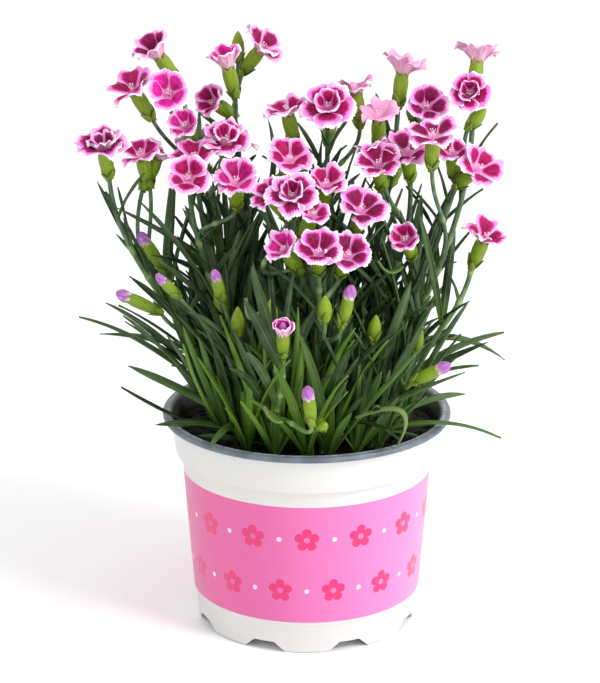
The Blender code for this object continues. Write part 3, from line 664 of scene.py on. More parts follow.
# Calyx: its wall turns in at the top and goes down inside, so that the throat is open
calyxForm = {
    "sides": 20, "teeth": 5, "tooth": 1.7, "between": 0.4, "lean": 0.1, "length": 14,
    "profile": (
        (1.5, 0), (2.2, 0.6), (2.7, 2.2), (3.05, 5), (3.3, 8.5), (3.25, 11), (2.95, 12.6), (2.72, 13.4),
    ),
    "inside": ((2.5, 12.2), (1.2, 8.0)),
}


def toothiness(co):               # 1 at the middle of a tooth, 0 between two
    return math.cos(calyxForm["teeth"] / 2 * math.atan2(co.y, co.x)) ** 2


def makeCalyx():
    form = calyxForm
    made = extrudedRing("calyxPattern", form["sides"], form["profile"] + form["inside"])
    top = form["profile"][-1][1]
    beginEdit(made)
    for tooth, low, high in ((form["tooth"], 0.999, 1.1), (form["tooth"] * form["between"], 0.3, 0.999)):
        pick(made, lambda co: abs(co.z - top) < 0.01 and low < toothiness(co) < high)
        lean = 1 + form["lean"] * tooth
        bpy.ops.transform.resize(value=(lean, lean, 1), center_override=(0, 0, top))
        bpy.ops.transform.translate(value=(0, 0, tooth))
    endEdit()
    paintUv(made, lambda co: (aroundUv(co)[0], co.z / form["length"]))
    return finishTemplate(made, calyxSkin)


# Bracts: two pairs of pointed scales round the calyx's foot, the inner pair longer
bractForm = {
    "widths": (0.8, 1.0, 0.92, 0.7, 0.36, 0.03), "across": 4, "wall": 0.04, "count": 4,
    "lengths": (5.0, 6.4), "feet": (-1.4, -0.6), "turn": 0.2, "jitter": (0.9, 1.1), "off": 0.25,
    "spread": 0.5, "thickness": 8, "wrap": 1.9,
}


def makeBract():                  # one scale, wrapped round the calyx when it is placed
    steps = len(bractForm["widths"]) - 1
    made = newGrid("bractPattern", steps, bractForm["across"])
    beginEdit(made)
    for step, width in enumerate(bractForm["widths"]):
        reach = step / steps
        pick(made, lambda co: abs(co.x - reach) < 0.001)
        bpy.ops.transform.resize(value=(1, width, 1), center_override=(reach, 0, 0))
    endEdit()
    addWall(made, bractForm["wall"])
    finishTemplate(made, calyxSkin)
    applyModifiers(made)
    return made


budForm = {                       # its height is 1, and it is stretched when it is placed
    "sides": 20,
    "profile": (
        (1.5, 0), (2.2, 0.05), (2.75, 0.2), (3.0, 0.4), (2.7, 0.6), (1.9, 0.78), (1.0, 0.92), (0.25, 1.0),
    ),
}


def makeBud():
    made = extrudedRing("budPattern", budForm["sides"], budForm["profile"])
    paintUv(made, aroundUv)
    return finishTemplate(made, calyxSkin)


tipForm = {
    "sides": 20, "folds": 5, "fold": 0.13,
    "profile": ((2.0, 0), (2.5, 0.15), (2.7, 0.4), (2.5, 0.62), (1.9, 0.82), (1.2, 0.94), (0.4, 1.0)),
}


def makeTip():                    # rolled petals at the top of an opening bud
    made = extrudedRing("tipPattern", tipForm["sides"], tipForm["profile"])
    folds = tipForm["folds"]
    for vert in made.data.vertices:
        turn = math.atan2(vert.co.y, vert.co.x)
        twisted = math.sin(folds * turn + folds * vert.co.z)
        fold = 1 + tipForm["fold"] * twisted * math.sin(math.pi * min(1, vert.co.z + 0.15))
        vert.co.x *= fold
        vert.co.y *= fold
    paintUv(made, aroundUv)
    return finishTemplate(made, budPetals)


filamentForm = {
    "count": 7, "foot": 0.17, "top": 0.11, "length": 5.5, "anther": 0.42, "antherUp": 2.8, "out": 0.3,
    "turn": (-0.3, 0.3), "lean": (0.12, 0.42), "rise": (-0.2, 1.3),
}


def makeFilaments():              # a thread with its anther, repeated round the throat
    form = filamentForm
    rng = random.Random(seeds["filaments"])
    loose = []
    for index in range(form["count"]):
        thread = newPrimitive(
            "thread", bpy.ops.mesh.primitive_cone_add, vertices=4, radius1=form["foot"],
            radius2=form["top"], depth=form["length"], location=(0, 0, 0),
        )
        anther = newPrimitive(
            "anther", bpy.ops.mesh.primitive_ico_sphere_add, subdivisions=1, radius=form["anther"],
            location=(0, 0, form["antherUp"]),
        )
        joinAll([thread, anther])
        turn = math.tau * index / form["count"] + rng.uniform(*form["turn"])
        lean = rng.uniform(*form["lean"])
        shift = Matrix.Translation((form["out"], 0, rng.uniform(*form["rise"])))
        thread.data.transform(Matrix.Rotation(turn, 4, "Z") @ Matrix.Rotation(lean, 4, "Y") @ shift)
        loose.append(thread)
    made = joinAll(loose)
    made.name = "filamentPattern"
    paintUv(made, aroundUv)
    return finishTemplate(made, filament)


petal = makePetal()
leaf = makeLeaf()
stemRod = makeRod(rodForm["stemRings"])
stalkRod = makeRod(rodForm["stalkRings"])
calyx = makeCalyx()
bract = makeBract()
bud = makeBud()
budTip = makeTip()
filaments = makeFilaments()
print("patterns made:", [(obj.name, len(obj.data.polygons)) for obj in templates])


# Growth: the plan and the rules that the plant's solids were grown by, in millimetres
view = {                          # the photo's eye point, and its picture in pixels
    "eye": Vector((-3.0, -1200.0, 525.9)), "down": math.radians(18.27), "focal": 2821.6,
    "middle": (300.0, 341.5),
}
growth = {
    "seed": 11, "soilTop": 89.0, "holeDepth": 11.0, "mouthRadius": 60.7, "potHeight": 98.4,
    "stemRadius": 1.45, "stalkRadius": 0.95, "stemTaper": 0.07, "stemPoints": (0.0, 0.25, 0.5, 0.75, 1.0),
    "stalkPoints": (0.0, 0.5, 1.0), "stemSteps": 40, "stalkSteps": 24, "stalkSink": 1.6,
    "rootRise": 2, "rootSink": 0.6, "lean": 0.5, "routeSway": 0.9, "leafSway": 0.8, "nodeTurn": 0.6,
    "leafTwist": 0.9, "twistBy": 2.5, "straightSide": (0.3, 0.2, 1), "leafLengths": (46, 72),
    "leafWidths": (3.8, 5.6), "leafShrink": (1.05, 190),
    "lowestLift": (24, 62), "lift": (50, 82), "droop": (0, 46), "topNode": 0.82,
    "nodeHeights": (5, 11, 18, 26, 36, 48, 61, 75, 90), "tries": 40, "leafTries": 16,
    "throat": 4.0, "calyxLength": 14.0, "budTipLength": 6.0,
}

# Each stem's plan: its blooms (name, place in the front view, depth, facing, radius, cup, rows, share of
# the stem), its buds (foot, depth, pointing, length, tip, share) and the leaves that stand out in the view
stemPlans = (
    {
        "name": "leafy_stem_far_left", "root": (-38, 2),
        "blooms": (
            ("bloom_far_left", (103, 145), -6, (-1, -4, 9), 13.5, 12, 2, 1.0),
            ("bloom_left_edge", (140, 151), 4, (-2, -2, 9), 11.0, 18, 1, 0.6),
            (None, (160, 152), 12, (4, 3, 8), 9.5, 18, 1, 0.6),
        ),
        "buds": (
            ((165, 272), 8, (-5, -2, 9), 17, "bud_tip_left", 0.4),
            ((160, 312), -14, (-9, -2, 5), 16, "bud_tip_far_left", 0.2),
        ),
        "leaves": (
            (0.10, (79, 317), 12, 12, 3.0),
            (0.14, (106, 303), -16, 8, 5.0),
            (0.62, (97, 181), 6, -3, 2.6),
        ),
    },
    {
        "name": "leafy_stem_left_top", "root": (-27, 14),
        "blooms": (
            ("bloom_left_top", (155, 50), 18, (-5, -2, 8), 12.0, 32, 1, 1.0),
            ("bloom_left_high", (131, 86), 8, (-5, -2, 9), 13.0, 15, 1, 0.6),
            ("bloom_left_cup", (168, 92), -2, (0, -8, 5), 11.5, 34, 1, 0.8),
        ),
        "buds": (),
        "leaves": ((0.12, (100, 334), 24, 10, 3.4), (0.4, (113, 206), 0, -4, 2.8)),
    },
    {
        "name": "leafy_stem_left_inner", "root": (-16, 3),
        "blooms": (
            ("bloom_left_small", (184, 124), 6, (-2, -6, 6), 8.5, 25, 1, 1.0),
            ("bloom_left_ruffled", (226, 138), 4, (0, -4, 8), 12.5, 14, 2, 0.8),
            (None, (193, 154), -4, (-1, -3, 9), 12.5, 14, 1, 0.6),
        ),
        "buds": (((225, 310), -20, (-3, -1, 9), 12, None, 0.4),),
        "leaves": ((0.5, (268, 119), 14, 2, 3.0),),
    },
    {
        "name": "leafy_stem_top_left", "root": (-10, 23),
        "blooms": (
            ("bloom_top_left", (264, 45), 28, (5, -3, 7), 12.0, 20, 1, 1.0),
            ("bloom_half_open", (226, 60), 20, (-2, -2, 9), 9.5, 42, 1, 0.8),
            ("bloom_left_peeping", (212, 101), 25, (-5, -6, 5), 9.0, 36, 1, 0.6),
        ),
        "buds": (((238, 60), 34, (0, 1, 9), 13, None, 0.8),),
        "leaves": (),
    },
    {
        "name": "leafy_stem_left_front", "root": (-25, -20),
        "blooms": (
            ("bloom_left_face", (188, 177), -22, (0, -8, 5), 11.0, 24, 1, 1.0),
            ("bloom_left_fan", (236, 179), -15, (0, -5, 8), 11.5, 24, 1, 0.8),
        ),
        "buds": (),
        "leaves": (
            (0.02, (121, 387), -10, -14, 4.0),
            (0.03, (155, 425), -34, 4, 4.2),
            (0.06, (209, 448), -62, 8, 3.8),
        ),
    },
    {
        "name": "leafy_stem_centre", "root": (1, 9),
        "blooms": (
            ("bloom_centre_high", (286, 107), 12, (-2, -2, 9), 11.0, 18, 1, 1.0),
            ("bloom_centre", (290, 157), -8, (1, -6, 7), 12.0, 24, 1, 0.8),
        ),
        "buds": (),
        "leaves": ((0.75, (339, 128), 14, -3, 2.8),),
    },
    {
        "name": "leafy_stem_centre_front", "root": (-4, -13),
        "blooms": (
            ("bloom_centre_front", (292, 194), -36, (0, -6, 7), 12.5, 16, 2, 1.0),
            (None, (268, 194), -31, (-5, -4, 7), 9.5, 18, 1, 1.0),
            (None, (314, 212), -40, (3, -5, 8), 8.0, 18, 1, 1.0),
            ("bloom_front_left", (283, 248), -44, (-4, -5, 7), 9.5, 34, 1, 0.6),
        ),
        "buds": (((238, 335), -42, (0, -2, 9), 14, None, 0.2),),
        "leaves": (),
    },
    {
        "name": "leafy_stem_centre_top", "root": (8, 25),
        "blooms": (
            ("bloom_centre_top", (328, 105), 6, (0, -6, 6), 13.0, 16, 2, 1.0),
            ("bloom_centre_pale", (355, 86), 22, (-1, 1, 8), 10.5, 20, 1, 0.8),
        ),
        "buds": (),
        "leaves": ((0.6, (322, 139), 26, -4, 3.0),),
    },
    {
        "name": "leafy_stem_mid_right", "root": (9, -2),
        "blooms": (
            ("bloom_mid_right", (326, 182), -20, (1, -5, 8), 10.0, 24, 1, 1.0),
            ("bloom_mid_low", (362, 207), -24, (1, -5, 8), 12.5, 20, 1, 0.8),
        ),
        "buds": (),
        "leaves": (),
    },
    {
        "name": "leafy_stem_front_right", "root": (7, -33),
        "blooms": (
            ("bloom_front", (319, 250), -52, (0, -6, 7), 11.5, 22, 1, 1.0),
            (None, (349, 253), -48, (2, -6, 7), 10.8, 22, 1, 0.8),
        ),
        "buds": (
            ((342, 325), -54, (2, -1, 9), 13, "bud_tip_lilac", 0.4),
            ((325, 320), -60, (0, -2, 9), 12, None, 0.4),
        ),
        "leaves": ((0.08, (401, 441), -60, 14, 4.6),),
    },
    {
        "name": "leafy_stem_right_mid", "root": (21, 7),
        "blooms": (
            ("bloom_right_mid", (407, 149), -2, (-1, -4, 8), 12.0, 18, 1, 1.0),
            (None, (378, 161), -10, (-1, -5, 8), 11.5, 18, 1, 0.8),
            (None, (371, 146), 0, (-3, 2, 8), 8.5, 18, 1, 0.8),
        ),
        "buds": (((373, 340), -36, (1, -1, 9), 12, None, 0.2),),
        "leaves": (),
    },
    {
        "name": "leafy_stem_right_top", "root": (20, 24),
        "blooms": (
            ("bloom_right_top", (403, 66), 24, (1, 1, 9), 12.0, 26, 1, 1.0),
            ("bloom_right_high", (427, 105), 14, (1, -7, 5), 10.5, 30, 1, 0.8),
            ("bloom_right_pale", (379, 113), 8, (0, -3, 8), 10.0, 18, 1, 0.6),
        ),
        "buds": (((412, 118), 28, (1, 1, 9), 12, None, 0.8),),
        "leaves": (),
    },
    {
        "name": "leafy_stem_right_outer", "root": (33, 13),
        "blooms": (
            ("bloom_edge_top", (478, 54), 24, (1, 3, 8), 11.0, 28, 1, 1.0),
            ("bloom_edge_high", (470, 92), 6, (-1, -8, 5), 10.5, 22, 2, 0.8),
            ("bloom_right_flat", (433, 131), -18, (0, -2, 9), 12.5, 14, 1, 0.6),
        ),
        "buds": (((468, 128), 14, (6, -1, 7), 12, None, 0.8),),
        "leaves": (),
    },
    {
        "name": "leafy_stem_far_right", "root": (33, -5),
        "blooms": (
            ("bloom_far_right", (480, 166), -2, (5, -5, 6), 12.5, 18, 1, 1.0),
            (None, (452, 150), 3, (-1, -5, 8), 8.5, 18, 1, 0.8),
            ("bloom_right_opening", (405, 238), -24, (-2, -6, 6), 8.5, 36, 1, 0.4),
        ),
        "buds": (),
        "leaves": ((0.3, (505, 360), 16, 18, 3.2),),
    },
    {
        "name": "leafy_stem_right_low", "root": (28, -26),
        "blooms": (("bloom_right_low", (486, 234), -12, (3, -3, 9), 11.0, 20, 1, 1.0),),
        "buds": (((412, 382), -44, (8, -3, 5), 14, "bud_tip_right", 0.2),),
        "leaves": ((0.05, (501, 438), -30, 12, 4.0), (0.08, (466, 394), -14, 8, 3.6)),
    },
    {
        "name": "leafy_stem_front_low", "root": (-15, -37),
        "blooms": (),
        "buds": (
            ((283, 356), -62, (0, -4, 8), 14, "bud_tip_rolled", 1.0),
            ((271, 325), -54, (0, -1, 9), 12, None, 0.6),
            ((312, 424), -68, (-1, -2, 9), 13, "bud_tip_low", 0.2),
        ),
        "leaves": (),
    },
    {
        "name": "leafy_stem_back_left", "root": (-24, 33),
        "blooms": (
            ("bloom_back_left", (196, 141), 52, (-3, 5, 8), 12.0, 18, 1, 1.0),
            (None, (233, 139), 48, (3, 4, 9), 12.0, 18, 1, 0.8),
        ),
        "buds": (((200, 262), 60, (-3, 6, 8), 13, None, 0.4), ((222, 300), 64, (0, 6, 8), 12, None, 0.2)),
        "leaves": (),
    },
    {
        "name": "leafy_stem_back_right", "root": (13, 41),
        "blooms": (
            ("bloom_back_centre", (332, 107), 54, (1, 5, 8), 12.0, 18, 1, 1.0),
            ("bloom_back_right", (405, 150), 46, (4, 4, 8), 12.0, 18, 1, 0.6),
        ),
        "buds": (((330, 262), 66, (1, 6, 8), 13, None, 0.4), ((384, 290), 62, (4, 5, 8), 12, None, 0.2)),
        "leaves": (),
    },
)


# Places in the front view and along a stem

def seenAt(pixel, depth):
    across = (pixel[0] - view["middle"][0]) / view["focal"]
    rise = (view["middle"][1] - pixel[1]) / view["focal"]
    ahead = math.cos(view["down"])
    down = math.sin(view["down"])
    distance = (depth - view["eye"].y) / (ahead + down * rise)
    return view["eye"] + distance * Vector((across, ahead + down * rise, ahead * rise - down))


def lengthOf(points):
    return sum((b - a).length for a, b in zip(points, points[1:]))


def along(points, share):
    lengths = [(b - a).length for a, b in zip(points, points[1:])]
    left = share * sum(lengths)
    for start, end, length in zip(points, points[1:], lengths):
        if left <= length:
            return start.lerp(end, left / length)
        left -= length
    return points[-1].copy()


def cubic(p0, p1, p2, p3, share):
    rest = 1 - share
    return rest ** 3 * p0 + 3 * rest ** 2 * share * p1 + 3 * rest * share ** 2 * p2 + share ** 3 * p3


def smoothLine(bends, steps):
    return [cubic(*bends, step / steps) for step in range(steps + 1)]


def faceFrame(centre, facing):
    return Matrix.Translation(centre) @ facing.to_track_quat("Z", "Y").to_matrix().to_4x4()


def calyxLine(pixel, depth, facing):
    centre = seenAt(pixel, depth)
    axis = Vector(facing).normalized()
    return centre - axis * (growth["throat"] + growth["calyxLength"]), centre - axis * growth["throat"]


routeForm = {"lead": 0.4, "facing": 0.2, "rise": 0.2, "endSway": 0.6, "swayUp": 0.4}


def stemRoute(start, end, facing, sway, lead):
    span = (end - start).length
    p1 = start + lead * span * routeForm["lead"] + sway
    back = facing * routeForm["facing"] + up * routeForm["rise"]
    p2 = end - back * span + sway * routeForm["endSway"]
    return p1, p2


def swayVector(rng, amount):
    rise = routeForm["swayUp"]
    return Vector((rng.uniform(-1, 1), rng.uniform(-1, 1), rng.uniform(-rise, rise))) * amount


def leafBends(spot, turn, length, lift, droop):     # the leaf's foot, its middle and its tip
    out = Vector((math.cos(turn), math.sin(turn), 0))
    p1 = spot + length * 0.5 * (out * math.cos(lift) + up * math.sin(lift))
    p2 = p1 + length * 0.5 * (out * math.cos(lift - droop) + up * math.sin(lift - droop))
    return spot, p1, p2


def ruleLeaf(rng, spot, turn, height):
    full, fade = growth["leafShrink"]
    length = rng.uniform(*growth["leafLengths"]) * (full - height / fade)
    lowest = height == growth["nodeHeights"][0]
    lift = math.radians(rng.uniform(*(growth["lowestLift"] if lowest else growth["lift"])))
    droop = math.radians(rng.uniform(*growth["droop"]))
    bends = leafBends(spot, turn, length, lift, droop)
    twist = growth["leafTwist"]
    return *bends, rng.uniform(*growth["leafWidths"]), rng.uniform(-twist, twist)


solidMatch = {                    # how near a point of the solid has to be, and where along a blade
    "near": 0.02, "search": 1.7, "bladeShare": 0.34,
}


# The solid of a stem tells which of the rule's tries was the one that grew.
class Solid:
    def __init__(self, node):
        points = pointsOf(frame["nodes"][node].data) / mm
        points = np.unique(np.round(points, 3), axis=0)
        self.tree = KDTree(len(points))
        for index, point in enumerate(points):
            self.tree.insert(point, index)
        self.tree.balance()

    def hasPoint(self, point):
        found = self.tree.find(point)
        return found[2] is not None and found[2] < solidMatch["near"]

    def hasRing(self, line, radius):          # two corners of the tube, opposite each other
        for centre in line[1:-1]:
            found = self.tree.find_range(centre, radius * solidMatch["search"])
            near = [Vector(place) for place, _, _ in found]
            for index, first in enumerate(near):
                for second in near[index + 1:]:
                    off = ((first + second) / 2 - centre).length
                    if off < solidMatch["near"] and (first - second).length > radius:
                        return True
        return False


class GrownStem:
    def __init__(self, plan, number):
        self.plan = plan
        self.name = plan["name"]
        self.rng = random.Random(growth["seed"] + number)
        self.looks = random.Random(seeds["looks"] + number)
        self.solid = Solid(self.name)
        self.firstTurn = self.rng.uniform(0, math.pi)
        self.ends = []
        for _, pixel, depth, facing, _, _, _, share in plan["blooms"]:
            self.ends.append((*calyxLine(pixel, depth, facing), None, share))
        for pixel, depth, pointing, length, tip, share in plan["buds"]:
            foot = seenAt(pixel, depth)
            self.ends.append((foot, foot + Vector(pointing).normalized() * length, tip or "green", share))
        self.routes = []
        self.leaves = []
        self.growMain()
        self.growStalks()
        self.growShownLeaves()
        for node in range(len(growth["nodeHeights"])):
            self.growPair(node)

    def route(self, start, end, facing, lead, shares, radius):
        for attempt in range(growth["tries"]):
            sway = swayVector(self.rng, growth["routeSway"] * attempt)
            p1, p2 = stemRoute(start, end, facing, sway, lead)
            line = [cubic(start, p1, p2, end, share) for share in shares]
            if self.solid.hasRing(line, radius):
                return line, (start, p1, p2, end)
        print(self.name, "has no route to", [round(value) for value in end])
        return line, (start, p1, p2, end)

    def growMain(self):
        root = Vector((*self.plan["root"], growth["soilTop"] + growth["rootRise"]))
        foot, top, _, _ = self.ends[0]
        axis = (top - foot).normalized()
        span = foot - root
        lead = up + Vector((span.x, span.y, 0)) * growth["lean"] / span.length
        radius = growth["stemRadius"] - growth["stemTaper"] * 2
        self.line, bends = self.route(root, foot, axis, lead, growth["stemPoints"], radius)
        holeFoot = growth["soilTop"] - growth["holeDepth"] + growth["rootSink"]
        deep = Vector((*self.plan["root"], holeFoot))
        self.main = smoothLine(bends, growth["stemSteps"])
        end = foot + axis * growth["stalkSink"]
        self.routes.append(([deep] + self.main + [end], growth["stemRadius"], True))

    def growStalks(self):
        for foot, top, _, share in self.ends[1:]:
            index = min(round(share * (len(self.line) - 1)), len(self.line) - 2)
            start = self.line[index]
            lead = (self.line[index + 1] - self.line[max(index - 1, 0)]).normalized()
            axis = (top - foot).normalized()
            _, bends = self.route(start, foot, axis, lead, growth["stalkPoints"], growth["stalkRadius"])
            smooth = smoothLine(bends, growth["stalkSteps"])
            end = foot + axis * growth["stalkSink"]
            self.routes.append((smooth + [end], growth["stalkRadius"], False))

    def growShownLeaves(self):
        for share, pixel, depth, arch, width in self.plan["leaves"]:
            spot = along(self.line, share)
            tip = seenAt(pixel, depth)
            for attempt in range(growth["tries"]):
                sway = swayVector(self.rng, growth["leafSway"] * attempt)
                bend = spot.lerp(tip, 0.5) + up * arch + sway
                twist = self.rng.uniform(-growth["leafTwist"], growth["leafTwist"])
                if self.solid.hasPoint(tip) and self.hasBend((spot, bend, tip, width, twist)):
                    self.leaves.append((spot, bend, tip, width, twist))
                    break

    def hasBend(self, leafPlan):              # the corners of the blade a third of the way up
        corners = bladeCorners(leafPlan, solidMatch["bladeShare"])
        return sum(self.solid.hasPoint(corner) for corner in corners) > 1

    def growPair(self, node):
        total = lengthOf(self.line)
        height = growth["nodeHeights"][node]
        if height > growth["topNode"] * total:
            return
        spot = along(self.line, height / total)
        for half in range(2):
            for _ in range(growth["leafTries"]):
                jitter = self.rng.uniform(-growth["nodeTurn"], growth["nodeTurn"])
                turn = self.firstTurn + math.pi * (0.5 * node + half) + jitter
                grown = ruleLeaf(self.rng, spot, turn, height)
                if self.solid.hasPoint(grown[2]):
                    self.leaves.append(grown)
                    break


def arc(p0, p1, p2, share):
    rest = 1 - share
    return rest ** 2 * p0 + 2 * rest * share * p1 + share ** 2 * p2


def bladeSide(p0, p1, p2):
    side = (p1 - p0).cross(p2 - p1)
    if side.length < 1:           # a straight leaf has no bend to tell its sides by
        side = (p2 - p0).cross(Vector(growth["straightSide"]))
    side.normalize()
    return side


def bladeFrame(leafPlan, share):
    p0, p1, p2, _, twist = leafPlan
    ahead = (p1 - p0).lerp(p2 - p1, share).normalized()
    turned = Matrix.Rotation(twist * min(1, growth["twistBy"] * share), 3, ahead)
    across = turned @ bladeSide(p0, p1, p2)
    return arc(p0, p1, p2, share), across, ahead.cross(across)


def bladeCorners(leafPlan, share):
    centre, across, _ = bladeFrame(leafPlan, share)
    half = leafPlan[3] / 2
    return centre + across * half, centre - across * half


print("growth rules ready")


# Shaping copies along what they grow on
bladeForm = {
    "shares": (0.0, 0.06, 0.16, 0.34, 0.6, 0.8, 0.92, 0.98, 1.0),
    "widths": (0.55, 0.6, 0.82, 1.0, 0.94, 0.72, 0.4, 0.14, 0.02),
    "channel": 0.24, "thickness": 11.0, "ripple": 0.25, "ripples": 9,
}


def bladeShaper(leafPlan, phase):
    width = leafPlan[3]
    cache = {}

    def shape(points):
        result = np.empty_like(points)
        for index, (share, across, lift) in enumerate(points):
            key = round(share, 4)
            if key not in cache:
                centre, side, below = bladeFrame(leafPlan, min(1.0, max(0.0, share)))
                full = np.interp(share, bladeForm["shares"], bladeForm["widths"]) * width
                ripple = bladeForm["ripple"] * math.sin(bladeForm["ripples"] * share + phase) * share
                cache[key] = np.array(centre), np.array(side), np.array(below), full, ripple
            centre, side, below, full, ripple = cache[key]
            hollow = bladeForm["channel"] * full * (1 - (2 * across) ** 2)
            depth = hollow - lift * bladeForm["thickness"] + ripple * across * 2
            result[index] = centre + side * across * full + below * depth
        return result * mm

    return shape


joint = {"size": 1.4, "swell": 0.42, "deep": 12.4}    # of a stem, where a pair of leaves leaves it


def growRod(pattern, line, radius, taper, rings):
    lengths = np.array([0] + [(b - a).length for a, b in zip(line, line[1:])]).cumsum()
    total = lengths[-1]
    flat = np.array([list(point) for point in line])

    def at(share):
        return np.array([np.interp(share * total, lengths, flat[:, axis]) for axis in range(3)])

    def near(height):
        return min(1, sum(math.exp(-((height * total - ring) / joint["size"]) ** 2) for ring in rings))

    def shape(points):
        frames = {}
        for height in sorted({round(z, 4) for z in points[:, 2]}):
            ahead = at(min(1, height + rodForm["look"])) - at(max(0, height - rodForm["look"]))
            ahead /= np.linalg.norm(ahead)
            side = np.cross(ahead, rodForm["across"])
            side /= np.linalg.norm(side)
            thick = radius * (1 - taper * height) * (1 + joint["swell"] * near(height))
            frames[height] = at(height), side, np.cross(ahead, side), thick
        result = np.empty_like(points)
        for index, (x, y, z) in enumerate(points):
            centre, side, other, thick = frames[round(z, 4)]
            result[index] = centre + thick * (x * side + y * other)
        return result * mm

    return copyOf(pattern, shape, [near(z) for z in pointsOf(pattern.data)[:, 2]])


# Each pair is the range of a draw, which makes no two petals alike.
petalShape = {
    "claw": 0.12, "clawRadius": -0.35, "bendRadius": 2.2, "clawFoot": -4.7, "clawTop": -3.2,
    "breadth": 1.02, "rise": 0.24, "crown": 0.03, "cross": 0.18, "wave": 1.7, "fall": 0.08, "open": 1.12,
    "bend": 2.3, "thickness": 12, "steep": 0.9, "steepDrop": 0.6, "usualRadius": 12, "cups": (-13, 9),
    "breadths": (0.88, 1.06), "beats": (4, 7), "waves": (0.4, 1.2), "crosses": (-0.5, 1.3),
}


def petalShaper(place, turn, radius, cup, rootHeight, rng):
    form = petalShape
    rise = math.radians(cup + rng.uniform(*form["cups"]))
    breadth = form["breadth"] * rng.uniform(*form["breadths"]) * radius
    phase = rng.uniform(0, math.tau)
    beats = rng.uniform(*form["beats"])
    wave = form["wave"] * rng.uniform(*form["waves"]) * radius / form["usualRadius"]
    crosswise = form["cross"] * rng.uniform(*form["crosses"])
    endRadius = max(form["bendRadius"] + 1, radius * math.cos(rise))
    endHeight = rootHeight + radius * math.sin(rise)
    full = place @ Matrix.Rotation(turn, 4, "Z")

    def shape(points):
        reach, across, lift = points.T
        inClaw = np.clip(reach / form["claw"], 0, 1)
        out = np.clip((reach - form["claw"]) / (1 - form["claw"]), 0, 1.1)
        climb = 1 - np.clip(1 - out, 0, 1) ** form["bend"]
        centreX = form["clawRadius"] + inClaw * (form["bendRadius"] - form["clawRadius"])
        centreX = centreX + (endRadius - form["bendRadius"]) * out ** form["open"]
        centreZ = form["clawFoot"] + inClaw * (form["clawTop"] - form["clawFoot"])
        centreZ = centreZ + (endHeight - form["clawTop"]) * climb
        side = across * breadth
        share = 2 * across
        centreZ = centreZ + form["rise"] * side * out - form["fall"] * radius * out ** 3
        centreZ = centreZ + crosswise * radius * share ** 2 * out ** 1.5
        centreZ = centreZ + wave * np.sin(phase + beats * share) * out ** 3
        centreZ = centreZ + form["crown"] * radius * np.sin(math.pi * np.clip(out, 0, 1))
        thick = lift * form["thickness"]
        steep = (1 - out) * form["steep"]
        height = centreZ + thick * (1 - form["steepDrop"] * steep)
        local = np.stack([centreX - thick * steep, side, height], axis=1)
        return byMatrix(full)(local) * mm

    return shape


def placed(place, scale):         # stretched in its own frame, then moved to its place
    full = place @ Matrix.Diagonal((*scale, 1))
    return lambda points: byMatrix(full)(points) * mm


def calyxPieces(foot, top, rng, size):
    length = (top - foot).length
    place = faceFrame(foot, top - foot) @ Matrix.Rotation(rng.uniform(0, 1.2), 4, "Z")
    stretch = length / calyxForm["profile"][-1][1]
    tint = rng.random()
    loose = [copyOf(calyx, placed(place, (size, size, stretch)), tint)]
    return loose + bractPieces(place, size, rng)


def bractPieces(place, size, rng):
    form = bractForm
    loose = []
    for index in range(form["count"]):
        turn = math.tau / form["count"] * index + rng.uniform(-form["turn"], form["turn"])
        length = form["lengths"][index % 2] * size * rng.uniform(*form["jitter"])
        base = form["feet"][index % 2]

        def wrap(points, turn=turn, length=length, base=base):
            reach, across, lift = points.T
            height = base + reach * length
            heights = [z for _, z in calyxForm["profile"]]
            radii = [radius for radius, _ in calyxForm["profile"]]
            out = np.interp(height, heights, radii) * size + form["off"]
            out = out + form["spread"] * reach ** 3 + lift * form["thickness"]
            angle = turn + across * form["wrap"]
            local = np.stack([out * np.cos(angle), out * np.sin(angle), height], axis=1)
            return byMatrix(place)(local) * mm

        loose.append(copyOf(bract, wrap, rng.random()))
    return loose


# Extra leaves between the solids' own, which keep the plant's outline
extraLeaves = {"perNode": 3, "lengths": (34, 70), "widths": (3.0, 5.4), "lift": (56, 87), "droop": (0, 30)}
upperLeaves = {"perNode": 2, "lengths": (14, 32), "widths": (1.6, 2.8), "lift": (52, 80), "droop": (0, 36)}
extraNodes = {
    "heights": growth["nodeHeights"] + (106, 122), "upperFrom": 66, "topShare": 0.94, "thinnerFrom": 15,
    "tries": 4, "turn": 0.8, "twist": 0.9,
}
clearance = {                     # where along a leaf it is tested, and the room that it leaves
    "potShares": (0.25, 0.5, 0.7, 0.85, 1.0), "flowerShares": (0.4, 0.6, 0.75, 0.9, 1.0),
    "pastFoot": 0.3, "soil": 3, "wall": 6, "rim": 6, "box": 1, "head": 0.95, "bud": 6.0,
    "budShares": (0.3, 0.8, 1.3),
}


def clearOfPot(leafPlan):
    low, high = (np.array(corner) / mm for corner in cadBox)
    room = clearance["box"]
    for share in clearance["potShares"]:
        point = arc(*leafPlan[:3], share)
        out = math.hypot(point.x, point.y)
        if point.z < growth["soilTop"] + clearance["soil"] and share > clearance["pastFoot"]:
            return False
        lowEnough = point.z < growth["potHeight"] + clearance["rim"]
        if out > growth["mouthRadius"] - clearance["wall"] and lowEnough:
            return False
        if any(not low[axis] + room < point[axis] < high[axis] - room for axis in range(3)):
            return False
    return True


def clearOfFlowers(leafPlan):
    for share in clearance["flowerShares"]:
        point = arc(*leafPlan[:3], share)
        if any((point - centre).length < reach for centre, reach in flowerPlaces):
            return False
    return True


def freeLeaf(rng, spot, turn, rule):
    length = rng.uniform(*rule["lengths"])
    lift = math.radians(rng.uniform(*rule["lift"]))
    droop = math.radians(rng.uniform(*rule["droop"]))
    bends = leafBends(spot, turn, length, lift, droop)
    twist = extraNodes["twist"]
    return *bends, rng.uniform(*rule["widths"]), rng.uniform(-twist, twist)


